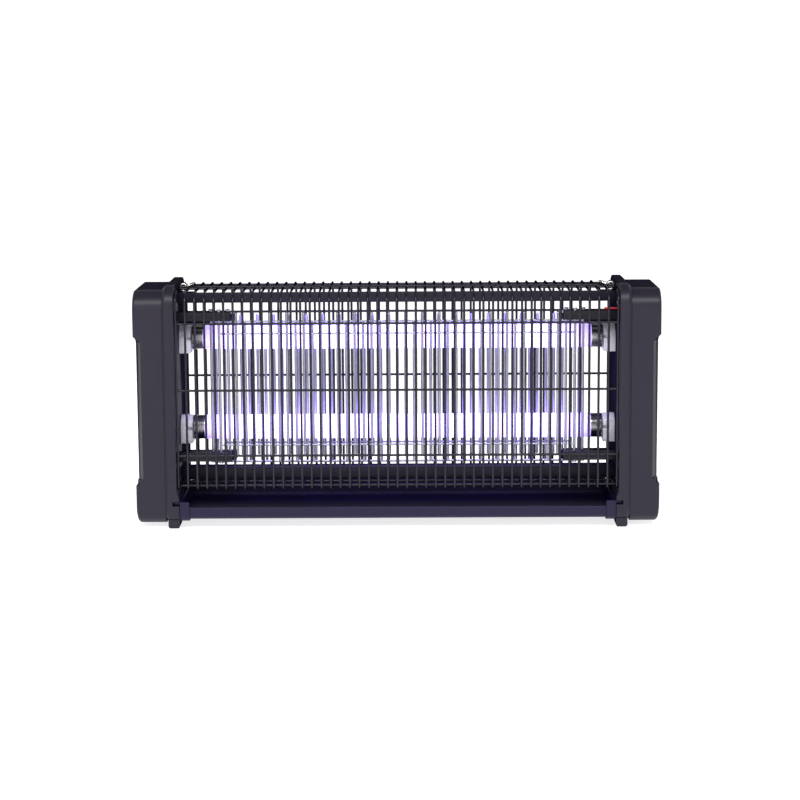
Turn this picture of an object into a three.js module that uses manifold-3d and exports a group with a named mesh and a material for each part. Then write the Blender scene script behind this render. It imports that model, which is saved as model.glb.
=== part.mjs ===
// Electric bug zapper: two end housings joined by rails, with two UV lamps, killing grids in front
// of and behind them, wire guards, and a catch tray that slides out to the front.
// Millimetres, +Z up, front towards -Y, origin at the middle of the footprint on the ground.

import * as THREE from 'three';
import { mergeGeometries, mergeVertices } from 'three/addons/utils/BufferGeometryUtils.js';
import Module from 'manifold-3d';

const wasm = await Module();
wasm.setup();

// ---------------------------------------------------------------- driving dimensions

// General
const GAP = 0.3; // between pieces that touch
const RUN = 0.6; // between pieces that slide or turn past each other
const CUT_MARGIN = 1; // how far a cutting tool runs past the face it opens

// Lamps: 15 W tubes with two-pin caps
const LAMP_LENGTH = 437.4; // cap face to cap face
const LAMP_RADIUS = 12.9;
const LAMP_WALL = 0.9;
const LAMP_NECK_RADIUS = 12.1; // where the glass enters its cap
const LAMP_CAP_RADIUS = 13;
const LAMP_CAP_LENGTH = 12.5;
const LAMP_CAP_WALL = 0.6;
const LAMP_CAP_FLOOR = 1.5;
const LAMP_SPACING = 97; // between the two lamp axes
const LAMP_SIDES = 16;
const PIN_RADIUS = 1.2;
const PIN_LENGTH = 7;
const PIN_SPACING = 12.7;

// Lamp holders
const HOLDER_THICKNESS = 12.4; // along the lamp
const HOLDER_RADIUS = 13.5;
const HOLDER_DROP = 16; // from the lamp axis to the holder's flat lower edge
const HOLDER_STUD_RADIUS = 2;
const HOLDER_STUD_LENGTH = 2.7; // ends inside the frame's web
const HOLDER_STUD_OFFSET = 10;
const ROTOR_RADIUS = 9.2;
const ROTOR_THICKNESS = 8.2;
const ROTOR_SIDES = 14;

// Stack of heights above the ground
const FOOT_HEIGHT = 7; // foot below the body of the frame
const RAIL_BASE = 45; // underside of the bottom rail
const RAIL_HEIGHT = 11;
const LOWER_LAMP_RISE = 43; // bottom rail to lower lamp axis
const UPPER_LAMP_DROP = 37.5; // top rail to upper lamp axis
const GUARD_TOP_RISE = 4.4; // top rail to the middle of the guard's top wires
const GUARD_BOTTOM_DROP = 3.5; // bottom rail to the middle of the guard's bottom wires
const FRAME_TOP_RISE = 7.1; // guard's top wires to the top of the frame

// End frames
const FRAME_DEPTH = 128;
const FRAME_THICKNESS = 12;
const FRAME_WEB = 3;
const FRAME_RIM = 2.5;
const FRAME_TOP_RADIUS = 22;
const FRAME_BOTTOM_RADIUS = 12;
const FOOT_SETBACK = 4;
const FOOT_LENGTH = 24;
const FOOT_INSET = 2.2; // outer side of a foot inside the outer face of the frame
const SWELL = 2.2; // the lower part of a frame is this much thicker, inwards
const SWELL_TOP = 39;
const SWELL_FULL = 33; // below this height the swell has its full thickness

// End caps
const CAP_LENGTH = 30.7;
const CAP_STEP = 3; // cap surface below the frame surface, front and back
const CAP_TOP_STEP = 5;
const CAP_BASE_STEP = 2; // cap underside below the frame's body
const CAP_WALL = 2.5;
const CAP_END_WALL = 8;
const CAP_TOP_RADIUS = 20;
const CAP_BOTTOM_RADIUS = 14;
const CAP_BEVEL = 3; // rounding of the outer end
const CAP_BEVEL_STEPS = 2;
const RECESS_DEPTH = 2.2; // hand recess in the outer end
const RECESS_LOW = 46;
const RECESS_TOP_DROP = 52; // below the frame top
const RECESS_SIDE = 11; // its floor slopes down to the front and the back over this depth
const RECESS_SIDE_FALL = 5.8;
const BOSS_RADIUS = 4.5; // round each cap screw, inside the cap
const BOSS_INSET_Y = 17;
const BOSS_TOP_DROP = 20; // below the frame top
const BOSS_LOW = 53;
const CORNER_STEPS = 3;

// Rails
const RAIL_DEPTH = 20;
const RAIL_WALL = 1.8;
const RAIL_BOSS = 7.5;
const EYE_SEAT = 16; // length of the solid ends of the top rail, which hold its screws and the eyes

// Guards: square wire about as heavy as the real round one
const WIRE = 2.2;
const EDGE_WIRE_EXTRA = 1; // the outermost two wires are this much heavier, to reach the cross wires
const WELD = 0.3; // how far crossing wires run into each other
const WIRE_PITCH = 10;
const GUARD_SETBACK = 5; // wire middle behind the front of the frame
const GUARD_BEND = 9;
const GUARD_FOOT_BEND = 4;
const FRONT_GUARD_END = 12.5; // middle plane to the wires that end the returns
const REAR_GUARD_END = 5;
const CROSS_WIRES = [35.8, 105, 174.9]; // on the face, above the guard's bottom wires
const FRONT_RETURN_WIRES = { top: [], bottom: [47] }; // behind or before the middle plane
const REAR_RETURN_WIRES = { top: [28, 50], bottom: [28, 50] };
const SOCKET_DEPTH = 1.9;

// Killing grids: square rods about as heavy as the real round ones
const ROD = 2.6;
const ROD_PITCH = 8.9;
const GRID_OFFSET = 30; // middle plane to the middle of a grid
const GRID_STAGGER = 3; // each comb from the middle of its grid
const GRID_END_MARGIN = 35; // least distance from the frame to the outermost rod
const CROSS_ROD = 2;
const LIVE_CROSS_DROP = 18.2; // upper arms to the live comb's upper cross rod
const LIVE_CROSS_RISE = 12.8; // lower arms to its lower one
const BEAD = 4.6;
const BEAD_HEIGHT = 2.4;

// Grid arms
const ARM_LENGTH = 56;
const ARM_HEIGHT = 9;
const ARM_DEPTH = 16;
const UPPER_ARM_RISE = 25.7; // upper lamp axis to the upper arms
const LOWER_ARM_DROP = 26.8; // lower lamp axis to the lower arms
const REAR_GRID_DROP = 9.5; // rear grid below the front one
const TANG_PROUD = 0.3; // past the outer side of the web
const TANG_WIDTH = 8;
const TANG_HEIGHT = 4;

// Tray
const TRAY_BASE = 10;
const TRAY_FRONT_HEIGHT = 13;
const TRAY_REAR_HEIGHT = 19.5;
const TRAY_WALL = 1.6;
const TRAY_RADIUS = 6;
const TRAY_SETBACK = 2.5; // trough behind the front of the frame
const TRAY_END_LENGTH = 10;
const TRAY_END_WALL = 2;
const TRAY_END_HEIGHT = 21;
const TONGUE_WIDTH = 4.2;
const TONGUE_THICKNESS = 3.4;
const TONGUE_LENGTH = 100;
const LEDGE_WALL = 2.6; // housing of the slot behind the web

// Hanging hardware
const EYE_RADIUS = 3.6; // to the middle of the wire
const EYE_WIRE = 1.2;
const EYE_INSET = 5.5; // from the frame to the eye
const EYE_OFFSET = -5.3; // along Y, between the ends of the two guards
const EYE_SHANK = 7; // down from the eye's wire
const EYE_THREAD = 1.6;
const RING_RADIUS = 6.5;
const RING_WIRE = 1;
const RING_REST = 0.3; // from a ring to the guard wire that it leans over
const WIRE_SIDES = 6;
const EYE_STEPS = 12;
const RING_STEPS = 14;

// Screws
const SCREW_RADIUS = 1.5;
const SCREW_LENGTH = 14;
const SCREW_HEAD_RADIUS = 3;
const SCREW_HEAD_HEIGHT = 1.8;
const SCREW_SIDES = 8;

// Electrics
const BALLAST = { width: 26, depth: 41, height: 120, rise: 70 };
const CORE = { width: 30, depth: 18, height: 44, rise: 120 };
const COIL = { width: 18, depth: 36, height: 26 };
const BRACKET = { thickness: 1.5, height: 10 };
const TERMINAL = { width: 14, depth: 36, height: 16, rise: 62, ways: 3, hole: 2.2, sides: 6 };
const SWITCH = { width: 13, height: 19, depth: 14, rise: 190, flange: 1.5, proud: 1.2, wall: 1.5 };
const HOLE_DEPTH = 10; // of the tools that open the cap's rear wall
const REAR_FITTINGS = 9.6; // inner end of the cap to the middle of the switch and the gland
const ROCKER = { depth: 6, swell: 0.6, lean: THREE.MathUtils.degToRad(8) };
const GLAND = { radius: 5, flange: 7, thickness: 2.4, bore: 3.3, length: 8, rise: 24 };
const FLANGE_SIDES = 12;
const LEAD_RADIUS = 1.3;
const LEAD_LENGTH = 14;
const LEAD_TAIL = 6; // past the outer side of the web

// ---------------------------------------------------------------- places that follow from them

const cageHalf = LAMP_LENGTH / 2 + HOLDER_THICKNESS + 2 * GAP; // inner face of an end frame
const frameOuter = cageHalf + FRAME_THICKNESS;
const webOuter = cageHalf + FRAME_WEB;
const capInner = frameOuter + GAP;
const capOuter = capInner + CAP_LENGTH;
const capCavityEnd = capOuter - CAP_END_WALL;

const bottomRailTop = RAIL_BASE + RAIL_HEIGHT;
const lowerLampZ = bottomRailTop + LOWER_LAMP_RISE;
const upperLampZ = lowerLampZ + LAMP_SPACING;
const topRailBase = upperLampZ + UPPER_LAMP_DROP;
const topRailTop = topRailBase + RAIL_HEIGHT;
const guardTop = topRailTop + GUARD_TOP_RISE;
const guardBottom = RAIL_BASE - GUARD_BOTTOM_DROP;
const frameTop = guardTop + FRAME_TOP_RISE;
const upperArmZ = upperLampZ + UPPER_ARM_RISE;
const lowerArmZ = lowerLampZ - LOWER_ARM_DROP;

const frameFront = FRAME_DEPTH / 2;
const capFront = frameFront - CAP_STEP;
const capTop = frameTop - CAP_TOP_STEP;
const capBase = FOOT_HEIGHT - CAP_BASE_STEP;
const guardPlane = frameFront - GUARD_SETBACK;

const trayEndTop = TRAY_BASE - TRAY_END_WALL + TRAY_END_HEIGHT;
const tongueTop = trayEndTop - WELD;
const slotTop = tongueTop + RUN;
const slotBase = tongueTop - TONGUE_THICKNESS - RUN;
const tongueFront = -frameFront + FOOT_SETBACK;
const slotEnd = tongueFront + TONGUE_LENGTH + RUN;
const traySide = cageHalf - SWELL - RUN;

const railReach = cageHalf - GAP;
const eyeX = cageHalf - EYE_INSET;
const eyeZ = topRailTop + GAP + EYE_RADIUS + EYE_WIRE;

// A ring leans so that it clears the front guard's end wire where it crosses that wire.
const ringAcross = FRONT_GUARD_END - WIRE / 2 + EYE_OFFSET;
const ringAlong = RING_RADIUS - Math.sqrt(RING_RADIUS ** 2 - ringAcross ** 2);
const ringLean = Math.asin((guardTop + WIRE / 2 + RING_REST + RING_WIRE - eyeZ) / ringAlong);

const edgeWire = WIRE + EDGE_WIRE_EXTRA;
const wireCount = Math.floor((cageHalf - WIRE / 2 - GAP) / WIRE_PITCH); // from the middle to an edge
const rodCount = Math.floor((cageHalf - GRID_END_MARGIN) / ROD_PITCH);
const rodPlaces = Array.from({ length: 2 * rodCount + 1 }, (_, i) => (i - rodCount) * ROD_PITCH);
const heldFrom = cageHalf - GAP - ARM_LENGTH + ROD_PITCH / 4; // rods beyond this pass through arms

// ---------------------------------------------------------------- shaping helpers

// The two numbers of a span in rising order, so that mirrored pieces can be given as written.
function ordered(span) {
  return [Math.min(...span), Math.max(...span)];
}

// A box between two values on each axis.
function block(x, y, z) {
  const [x0, x1] = ordered(x);
  const [y0, y1] = ordered(y);
  const [z0, z1] = ordered(z);
  const geometry = new THREE.BoxGeometry(x1 - x0, y1 - y0, z1 - z0);
  return geometry.translate((x0 + x1) / 2, (y0 + y1) / 2, (z0 + z1) / 2);
}

// A box about a middle point.
function blockAt(centre, size) {
  return new THREE.BoxGeometry(...size).translate(...centre);
}

// A cylinder along one axis. centre holds 0 for that axis.
function rod(axis, radius, along, centre, sides = SCREW_SIDES) {
  const [from, to] = ordered(along);
  const geometry = new THREE.CylinderGeometry(radius, radius, to - from, sides);
  geometry.translate(0, (from + to) / 2, 0);
  if (axis === 'x') geometry.rotateZ(-Math.PI / 2);
  if (axis === 'z') geometry.rotateX(Math.PI / 2);
  return geometry.translate(...centre);
}

// A cylindrical hole tool with flats no closer to the axis than the radius.
function bore(axis, radius, along, centre, sides = SCREW_SIDES) {
  return rod(axis, radius / Math.cos(Math.PI / sides), along, centre, sides);
}

// A shape drawn in (Y, Z), extruded along X.
const FROM_YZ = new THREE.Matrix4().makeBasis(
  new THREE.Vector3(0, 1, 0),
  new THREE.Vector3(0, 0, 1),
  new THREE.Vector3(1, 0, 0),
);

function extrudeX(shape, x) {
  const [from, to] = ordered(x);
  const settings = { depth: to - from, bevelEnabled: false, curveSegments: CORNER_STEPS };
  return new THREE.ExtrudeGeometry(shape, settings).applyMatrix4(FROM_YZ).translate(from, 0, 0);
}

// A rectangle in (Y, Z) about Y = 0, with its own corner radius at the top and the bottom.
function roundedOutline(halfDepth, base, top, topRadius, baseRadius) {
  const shape = new THREE.Shape();
  shape.moveTo(-halfDepth + baseRadius, base);
  shape.lineTo(halfDepth - baseRadius, base);
  shape.absarc(halfDepth - baseRadius, base + baseRadius, baseRadius, -Math.PI / 2, 0);
  shape.lineTo(halfDepth, top - topRadius);
  shape.absarc(halfDepth - topRadius, top - topRadius, topRadius, 0, Math.PI / 2);
  shape.lineTo(-halfDepth + topRadius, top);
  shape.absarc(-halfDepth + topRadius, top - topRadius, topRadius, Math.PI / 2, Math.PI);
  shape.lineTo(-halfDepth, base + baseRadius);
  shape.absarc(-halfDepth + baseRadius, base + baseRadius, baseRadius, Math.PI, 1.5 * Math.PI);
  return shape;
}

function toSolid(geometry) {
  const bare = geometry.clone();
  bare.deleteAttribute('normal');
  bare.deleteAttribute('uv');
  const merged = mergeVertices(bare, 1e-4);
  const vertProperties = new Float32Array(merged.attributes.position.array);
  const triVerts = new Uint32Array(merged.index.array);
  return new wasm.Manifold(new wasm.Mesh({ numProp: 3, vertProperties, triVerts }));
}

function toGeometry(solid) {
  const mesh = solid.getMesh();
  const geometry = new THREE.BufferGeometry();
  geometry.setAttribute('position', new THREE.BufferAttribute(mesh.vertProperties, 3));
  geometry.setIndex(new THREE.BufferAttribute(mesh.triVerts, 1));
  geometry.computeVertexNormals();
  return geometry;
}

// Pieces that don't touch each other, as one geometry.
function gather(geometries) {
  const bare = geometries.map((geometry) => {
    const copy = geometry.index ? geometry.toNonIndexed() : geometry.clone();
    copy.deleteAttribute('normal');
    copy.deleteAttribute('uv');
    return copy;
  });
  return mergeGeometries(bare);
}

function join(...geometries) {
  return toGeometry(geometries.map(toSolid).reduce((sum, next) => sum.add(next)));
}

function cut(geometry, ...tools) {
  return toGeometry(tools.map(toSolid).reduce((rest, tool) => rest.subtract(tool), toSolid(geometry)));
}

function keepInside(geometry, limit) {
  return toGeometry(toSolid(geometry).intersect(toSolid(limit)));
}

// ---------------------------------------------------------------- finishes

function finish(color, roughness, metalness) {
  return new THREE.MeshStandardMaterial({ color, roughness, metalness });
}

const housingPlastic = finish(0x4a4752, 0.42, 0);
const darkPlastic = finish(0x1e1c23, 0.5, 0);
const palePlastic = finish(0xdcd9e8, 0.45, 0);
const guardPaint = finish(0x29272e, 0.35, 0.3);
const railPaint = finish(0x393642, 0.45, 0.2);
const gridSteel = finish(0x9496a8, 0.32, 0.9);
const capMetal = finish(0xb9b6bb, 0.25, 1);
const chrome = finish(0xdcdce0, 0.1, 1);
const zincSteel = finish(0xa9aaad, 0.35, 1);
const redSleeve = finish(0xb01828, 0.5, 0);
const ballastPaint = finish(0xc9c9c4, 0.5, 0.2);
const coreSteel = finish(0x5b5a58, 0.55, 0.7);
const lampGlass = new THREE.MeshStandardMaterial({
  color: 0xf1ecff,
  roughness: 0.15,
  metalness: 0,
  emissive: 0xb9a6ff,
  emissiveIntensity: 1.5,
});

const group = new THREE.Group();

function add(name, geometry, material) {
  const mesh = new THREE.Mesh(geometry, material);
  mesh.name = name;
  group.add(mesh);
}

const SIDES = [
  { name: 'left', dir: -1 },
  { name: 'right', dir: 1 },
];
const FACES = [
  {
    name: 'front',
    dir: -1,
    guardEnd: FRONT_GUARD_END,
    returnWires: FRONT_RETURN_WIRES,
    gridDrop: 0,
  },
  {
    name: 'rear',
    dir: 1,
    guardEnd: REAR_GUARD_END,
    returnWires: REAR_RETURN_WIRES,
    gridDrop: REAR_GRID_DROP,
  },
];
const LAMPS = [
  { name: 'upper', z: upperLampZ },
  { name: 'lower', z: lowerLampZ },
];
const ARMS = [
  { name: 'upper', z: upperArmZ },
  { name: 'lower', z: lowerArmZ },
];
const COMBS = [
  {
    name: 'live',
    live: true,
    lean: 1,
    crossHeights: [upperArmZ - LIVE_CROSS_DROP, lowerArmZ + LIVE_CROSS_RISE],
  },
  {
    name: 'return',
    live: false,
    lean: -1,
    crossHeights: [upperArmZ, lowerArmZ].map((z) => z - ARM_HEIGHT / 2 - CROSS_ROD),
  },
];

const HEIGHTS = ['upper', 'lower'];

// The (Y, Z) places of an end's screws, upper then lower. The cap's two stand corner to corner.
const capScrewPlaces = [
  [-(frameFront - BOSS_INSET_Y), frameTop - BOSS_TOP_DROP],
  [frameFront - BOSS_INSET_Y, BOSS_LOW],
];
const railScrewPlaces = [
  [0, topRailBase + RAIL_HEIGHT / 2],
  [0, RAIL_BASE + RAIL_HEIGHT / 2],
];
const footPlaces = FACES.map(({ dir }) => ordered([
  dir * (frameFront - FOOT_SETBACK),
  dir * (frameFront - FOOT_SETBACK - FOOT_LENGTH),
]));

// ---------------------------------------------------------------- end frames

// Openings through the web: screws, lamp holder studs, grid arm tangs, guard wire sockets.
function webTools(dir) {
  const through = [dir * (cageHalf - CUT_MARGIN), dir * (webOuter + CUT_MARGIN)];
  const screws = [...capScrewPlaces, ...railScrewPlaces]
    .map(([y, z]) => bore('x', SCREW_RADIUS + GAP, through, [0, y, z]));
  const studs = LAMPS.flatMap(({ z }) => [-1, 1].map((turn) => (
    bore('x', HOLDER_STUD_RADIUS + GAP, through, [0, 0, z + turn * HOLDER_STUD_OFFSET])
  )));
  const tangs = FACES.flatMap((face) => ARMS.map((arm) => block(
    through,
    [face.dir * GRID_OFFSET - TANG_WIDTH / 2 - GAP, face.dir * GRID_OFFSET + TANG_WIDTH / 2 + GAP],
    [
      arm.z - face.gridDrop - TANG_HEIGHT / 2 - GAP,
      arm.z - face.gridDrop + TANG_HEIGHT / 2 + GAP,
    ],
  )));
  const sockets = FACES.flatMap(guardEndWires).map(([y, z]) => block(
    [dir * (cageHalf - CUT_MARGIN), dir * (cageHalf + SOCKET_DEPTH)],
    [y - WIRE / 2 - GAP, y + WIRE / 2 + GAP],
    [z - WIRE / 2 - GAP, z + WIRE / 2 + GAP],
  ));
  return [...screws, ...studs, ...tangs, ...sockets];
}

// The thicker lower part of a frame, between the frame's rounded corners, with a sloping top.
function swell(dir) {
  const outline = new THREE.Shape([
    [cageHalf + WELD, FOOT_HEIGHT],
    [cageHalf - SWELL, FOOT_HEIGHT],
    [cageHalf - SWELL, SWELL_FULL],
    [cageHalf, SWELL_TOP],
    [cageHalf + WELD, SWELL_TOP],
  ].map(([x, z]) => new THREE.Vector2(dir * x, z)));
  const settings = { depth: FRAME_DEPTH, bevelEnabled: false };
  const bar = new THREE.ExtrudeGeometry(outline, settings);
  bar.rotateX(Math.PI / 2).translate(0, frameFront, 0);
  const rounding = extrudeX(
    roundedOutline(frameFront, FOOT_HEIGHT, frameTop, FRAME_TOP_RADIUS, FRAME_BOTTOM_RADIUS),
    [dir * (cageHalf - SWELL), dir * (cageHalf + WELD)],
  );
  return keepInside(bar, rounding);
}

function endFrame(dir) {
  const body = extrudeX(
    roundedOutline(frameFront, FOOT_HEIGHT, frameTop, FRAME_TOP_RADIUS, FRAME_BOTTOM_RADIUS),
    [dir * cageHalf, dir * frameOuter],
  );
  const pan = extrudeX(
    roundedOutline(
      frameFront - FRAME_RIM,
      FOOT_HEIGHT + FRAME_RIM,
      frameTop - FRAME_RIM,
      FRAME_TOP_RADIUS - FRAME_RIM,
      FRAME_BOTTOM_RADIUS - FRAME_RIM,
    ),
    [dir * webOuter, dir * (frameOuter + CUT_MARGIN)],
  );
  const feet = footPlaces.map((y) => block(
    [dir * (cageHalf - SWELL), dir * (frameOuter - FOOT_INSET)],
    y,
    [0, FOOT_HEIGHT + FRAME_RIM],
  ));
  const ledge = block(
    [dir * (webOuter - WELD), dir * (cageHalf + TONGUE_WIDTH + RUN + LEDGE_WALL)],
    [-frameFront + FRAME_RIM - WELD, slotEnd + LEDGE_WALL],
    [slotBase - LEDGE_WALL, slotTop + LEDGE_WALL],
  );
  const slot = block(
    [dir * (cageHalf - SWELL - CUT_MARGIN), dir * (cageHalf + TONGUE_WIDTH + RUN)],
    [-frameFront - CUT_MARGIN, slotEnd],
    [slotBase, slotTop],
  );
  const shell = join(cut(body, pan), swell(dir), ...feet, ledge);
  const extras = dir > 0 ? [leadHole()] : [];
  return cut(shell, slot, ...webTools(dir), ...extras);
}

// ---------------------------------------------------------------- end caps

// A rounded body along X whose outer end is bevelled; the inner end stays square.
function bevelledBody(dir, outline, xInner, xOuter, bevel) {
  const core = xOuter - bevel - xInner;
  const settings = {
    depth: core + bevel,
    bevelSize: bevel,
    bevelThickness: bevel,
    bevelOffset: -bevel,
    bevelSegments: CAP_BEVEL_STEPS,
    curveSegments: CORNER_STEPS,
  };
  const body = new THREE.ExtrudeGeometry(outline, settings).applyMatrix4(FROM_YZ);
  body.translate(xInner - bevel, 0, 0);
  if (dir < 0) body.rotateZ(Math.PI);
  const kept = block(
    [dir * xInner, dir * (xOuter + CUT_MARGIN)],
    [-FRAME_DEPTH, FRAME_DEPTH],
    [0, frameTop],
  );
  return keepInside(body, kept);
}

// The hand recess: flat in the middle and sloping away to the front and the back.
function recess(dir) {
  const floor = capOuter - RECESS_DEPTH;
  const outline = new THREE.Shape([
    [capOuter + CUT_MARGIN, -capFront],
    [capOuter + CUT_MARGIN, capFront],
    [floor - RECESS_SIDE_FALL, capFront],
    [floor, capFront - RECESS_SIDE],
    [floor, -capFront + RECESS_SIDE],
    [floor - RECESS_SIDE_FALL, -capFront],
  ].map(([x, y]) => new THREE.Vector2(dir * x, y)));
  const settings = { depth: frameTop - RECESS_TOP_DROP - RECESS_LOW, bevelEnabled: false };
  return new THREE.ExtrudeGeometry(outline, settings).translate(0, 0, RECESS_LOW);
}

function endCap(dir) {
  const outer = bevelledBody(
    dir,
    roundedOutline(capFront, capBase, capTop, CAP_TOP_RADIUS, CAP_BOTTOM_RADIUS),
    capInner,
    capOuter,
    CAP_BEVEL,
  );
  const cavity = bevelledBody(
    dir,
    roundedOutline(
      capFront - CAP_WALL,
      capBase + CAP_WALL,
      capTop - CAP_WALL,
      CAP_TOP_RADIUS - CAP_WALL,
      CAP_BOTTOM_RADIUS - CAP_WALL,
    ),
    capInner - CUT_MARGIN,
    capCavityEnd,
    CAP_BEVEL - CAP_WALL,
  );
  const bosses = capScrewPlaces.map(([y, z]) => rod(
    'x',
    BOSS_RADIUS,
    [dir * (webOuter + GAP), dir * (capCavityEnd + WELD)],
    [0, y, z],
  ));
  const screwHoles = capScrewPlaces.map(([y, z]) => bore(
    'x',
    SCREW_RADIUS + GAP,
    [dir * webOuter, dir * (cageHalf + SCREW_LENGTH + CUT_MARGIN)],
    [0, y, z],
  ));
  const shell = join(cut(outer, cavity, recess(dir)), ...bosses);
  const rearHoles = dir > 0 ? [switchHole(), glandHole()] : [];
  return cut(shell, ...screwHoles, ...rearHoles);
}

// ---------------------------------------------------------------- rails

// The bottom rail's outline: an inverted channel with a square screw boss along its middle.
function channelOutline() {
  const half = RAIL_DEPTH / 2;
  const boss = RAIL_BOSS / 2;
  const ceiling = bottomRailTop - RAIL_WALL;
  return [
    [-half, RAIL_BASE],
    [-half + RAIL_WALL, RAIL_BASE],
    [-half + RAIL_WALL, ceiling],
    [-boss, ceiling],
    [-boss, RAIL_BASE + RAIL_WALL],
    [boss, RAIL_BASE + RAIL_WALL],
    [boss, ceiling],
    [half - RAIL_WALL, ceiling],
    [half - RAIL_WALL, RAIL_BASE],
    [half, RAIL_BASE],
    [half, bottomRailTop],
    [-half, bottomRailTop],
  ];
}

// The top rail's outline: an angle with its wide side underneath.
function angleOutline() {
  const half = RAIL_DEPTH / 2;
  const floor = topRailBase + RAIL_WALL;
  return [
    [-half, topRailBase],
    [half, topRailBase],
    [half, floor],
    [-half + RAIL_WALL, floor],
    [-half + RAIL_WALL, topRailTop],
    [-half, topRailTop],
  ];
}

function railBar(outline) {
  const shape = new THREE.Shape(outline.map(([y, z]) => new THREE.Vector2(y, z)));
  return extrudeX(shape, [-railReach, railReach]);
}

function railScrewHoles([y, z]) {
  return SIDES.map(({ dir }) => bore(
    'x',
    SCREW_RADIUS + GAP,
    [dir * (railReach - SCREW_LENGTH), dir * (railReach + CUT_MARGIN)],
    [0, y, z],
  ));
}

function bottomRail() {
  return cut(railBar(channelOutline()), ...railScrewHoles(railScrewPlaces[1]));
}

function topRail() {
  const seats = SIDES.map(({ dir }) => block(
    [dir * (railReach - EYE_SEAT), dir * railReach],
    [-RAIL_DEPTH / 2, RAIL_BOSS / 2],
    [topRailBase, topRailTop],
  ));
  const eyeHoles = SIDES.map(({ dir }) => bore(
    'z',
    EYE_THREAD + GAP,
    [eyeZ - EYE_RADIUS - EYE_SHANK - GAP, topRailTop + CUT_MARGIN],
    [dir * eyeX, EYE_OFFSET, 0],
  ));
  const bar = join(railBar(angleOutline()), ...seats);
  return cut(bar, ...railScrewHoles(railScrewPlaces[0]), ...eyeHoles);
}

// ---------------------------------------------------------------- guards

// One wire: a C in (Y, Z) of top return, face and bottom return, with bent corners.
function guardWire(dir, x, wire, end) {
  const half = wire / 2;
  const face = guardPlane + half;
  const top = guardTop + half;
  const base = guardBottom - half;
  const outline = [
    [end, base],
    [face - GUARD_FOOT_BEND, base],
    [face, base + GUARD_FOOT_BEND],
    [face, top - GUARD_BEND],
    [face - GUARD_BEND, top],
    [end, top],
    [end, top - wire],
    [face - GUARD_BEND, top - wire],
    [face - wire, top - GUARD_BEND],
    [face - wire, base + GUARD_FOOT_BEND],
    [face - GUARD_FOOT_BEND, base + wire],
    [end, base + wire],
  ];
  const shape = new THREE.Shape(outline.map(([y, z]) => new THREE.Vector2(dir * y, z)));
  return extrudeX(shape, [x - half, x + half]);
}

// The (Y, Z) places of a guard's two end wires, which plug into the frames.
function guardEndWires({ dir, guardEnd }) {
  return [guardTop, guardBottom].map((z) => [dir * guardEnd, z]);
}

function guard(face) {
  const end = face.guardEnd + WIRE / 2 - WELD;
  const wires = [];
  for (let i = 1 - wireCount; i < wireCount; i += 1) {
    wires.push(guardWire(face.dir, i * WIRE_PITCH, WIRE, end));
  }
  const reach = cageHalf + SOCKET_DEPTH - GAP;
  const endWires = guardEndWires(face).map(([y, z]) => (
    blockAt([0, y, z], [2 * reach, WIRE, WIRE])
  ));
  return join(gather(wires), gather(endWires));
}

// The two edge wires, and the cross wires that run between them along the inside of the guard.
function guardCrossFrame({ dir, guardEnd, returnWires }) {
  const inward = WIRE + GAP;
  const places = [
    ...CROSS_WIRES.map((rise) => [guardPlane - inward, guardBottom + rise]),
    ...returnWires.top.map((y) => [y, guardTop - inward]),
    ...returnWires.bottom.map((y) => [y, guardBottom + inward]),
  ];
  const side = cageHalf - GAP - edgeWire / 2;
  const crossWires = places.map(([y, z]) => (
    blockAt([0, dir * y, z], [2 * side, WIRE, WIRE])
  ));
  const end = guardEnd + WIRE / 2 + GAP;
  const edges = [-side, side].map((x) => guardWire(dir, x, edgeWire, end));
  return join(gather(edges), gather(crossWires));
}

// ---------------------------------------------------------------- killing grids and their arms

// Every second rod belongs to the live comb and the rest to the return comb, a little apart in
// depth. The rods over the arms pass through them and end in beads.
function comb(face, { live, lean, crossHeights }) {
  const y = face.dir * (GRID_OFFSET + lean * GRID_STAGGER);
  const armHalf = ARM_HEIGHT / 2;
  const held = armHalf + GAP + BEAD_HEIGHT / 2;
  const upperTip = live ? upperArmZ + armHalf : crossHeights[0];
  const lowerTip = live ? lowerArmZ : crossHeights[1];
  const places = rodPlaces.filter((_, index) => index % 2 === (live ? 1 : 0));
  const isHeld = (x) => Math.abs(x) > heldFrom;
  const rods = places.map((x) => block(
    [x - ROD / 2, x + ROD / 2],
    [y - ROD / 2, y + ROD / 2],
    isHeld(x) ? [lowerArmZ - held, upperArmZ + held] : [lowerTip, upperTip],
  ));
  const beads = places.filter(isHeld).flatMap((x) => [lowerArmZ - held, upperArmZ + held].map((z) => (
    blockAt([x, y, z], [BEAD, BEAD, BEAD_HEIGHT])
  )));
  const crossY = y + face.dir * lean * ((ROD + CROSS_ROD) / 2 - WELD);
  const crossRods = crossHeights.map((z) => (
    blockAt([0, crossY, z], [2 * places.at(-1), CROSS_ROD, CROSS_ROD])
  ));
  return join(gather(rods), gather(crossRods), gather(beads)).translate(0, 0, -face.gridDrop);
}

function arm(side, face, z) {
  const outerX = cageHalf - GAP;
  const y = face.dir * GRID_OFFSET;
  const bar = block(
    [side.dir * (outerX - ARM_LENGTH), side.dir * outerX],
    [y - ARM_DEPTH / 2, y + ARM_DEPTH / 2],
    [z - ARM_HEIGHT / 2, z + ARM_HEIGHT / 2],
  );
  const tang = block(
    [side.dir * (outerX - WELD), side.dir * (webOuter + TANG_PROUD)],
    [y - TANG_WIDTH / 2, y + TANG_WIDTH / 2],
    [z - TANG_HEIGHT / 2, z + TANG_HEIGHT / 2],
  );
  const hole = ROD + 2 * GAP;
  const holes = rodPlaces.flatMap((x, index) => {
    if (x * side.dir < heldFrom) return [];
    const stagger = index % 2 === 1 ? GRID_STAGGER : -GRID_STAGGER;
    return [blockAt([x, face.dir * (GRID_OFFSET + stagger), z], [hole, hole, ARM_HEIGHT + CUT_MARGIN])];
  });
  return cut(join(bar, tang), ...holes);
}

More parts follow.
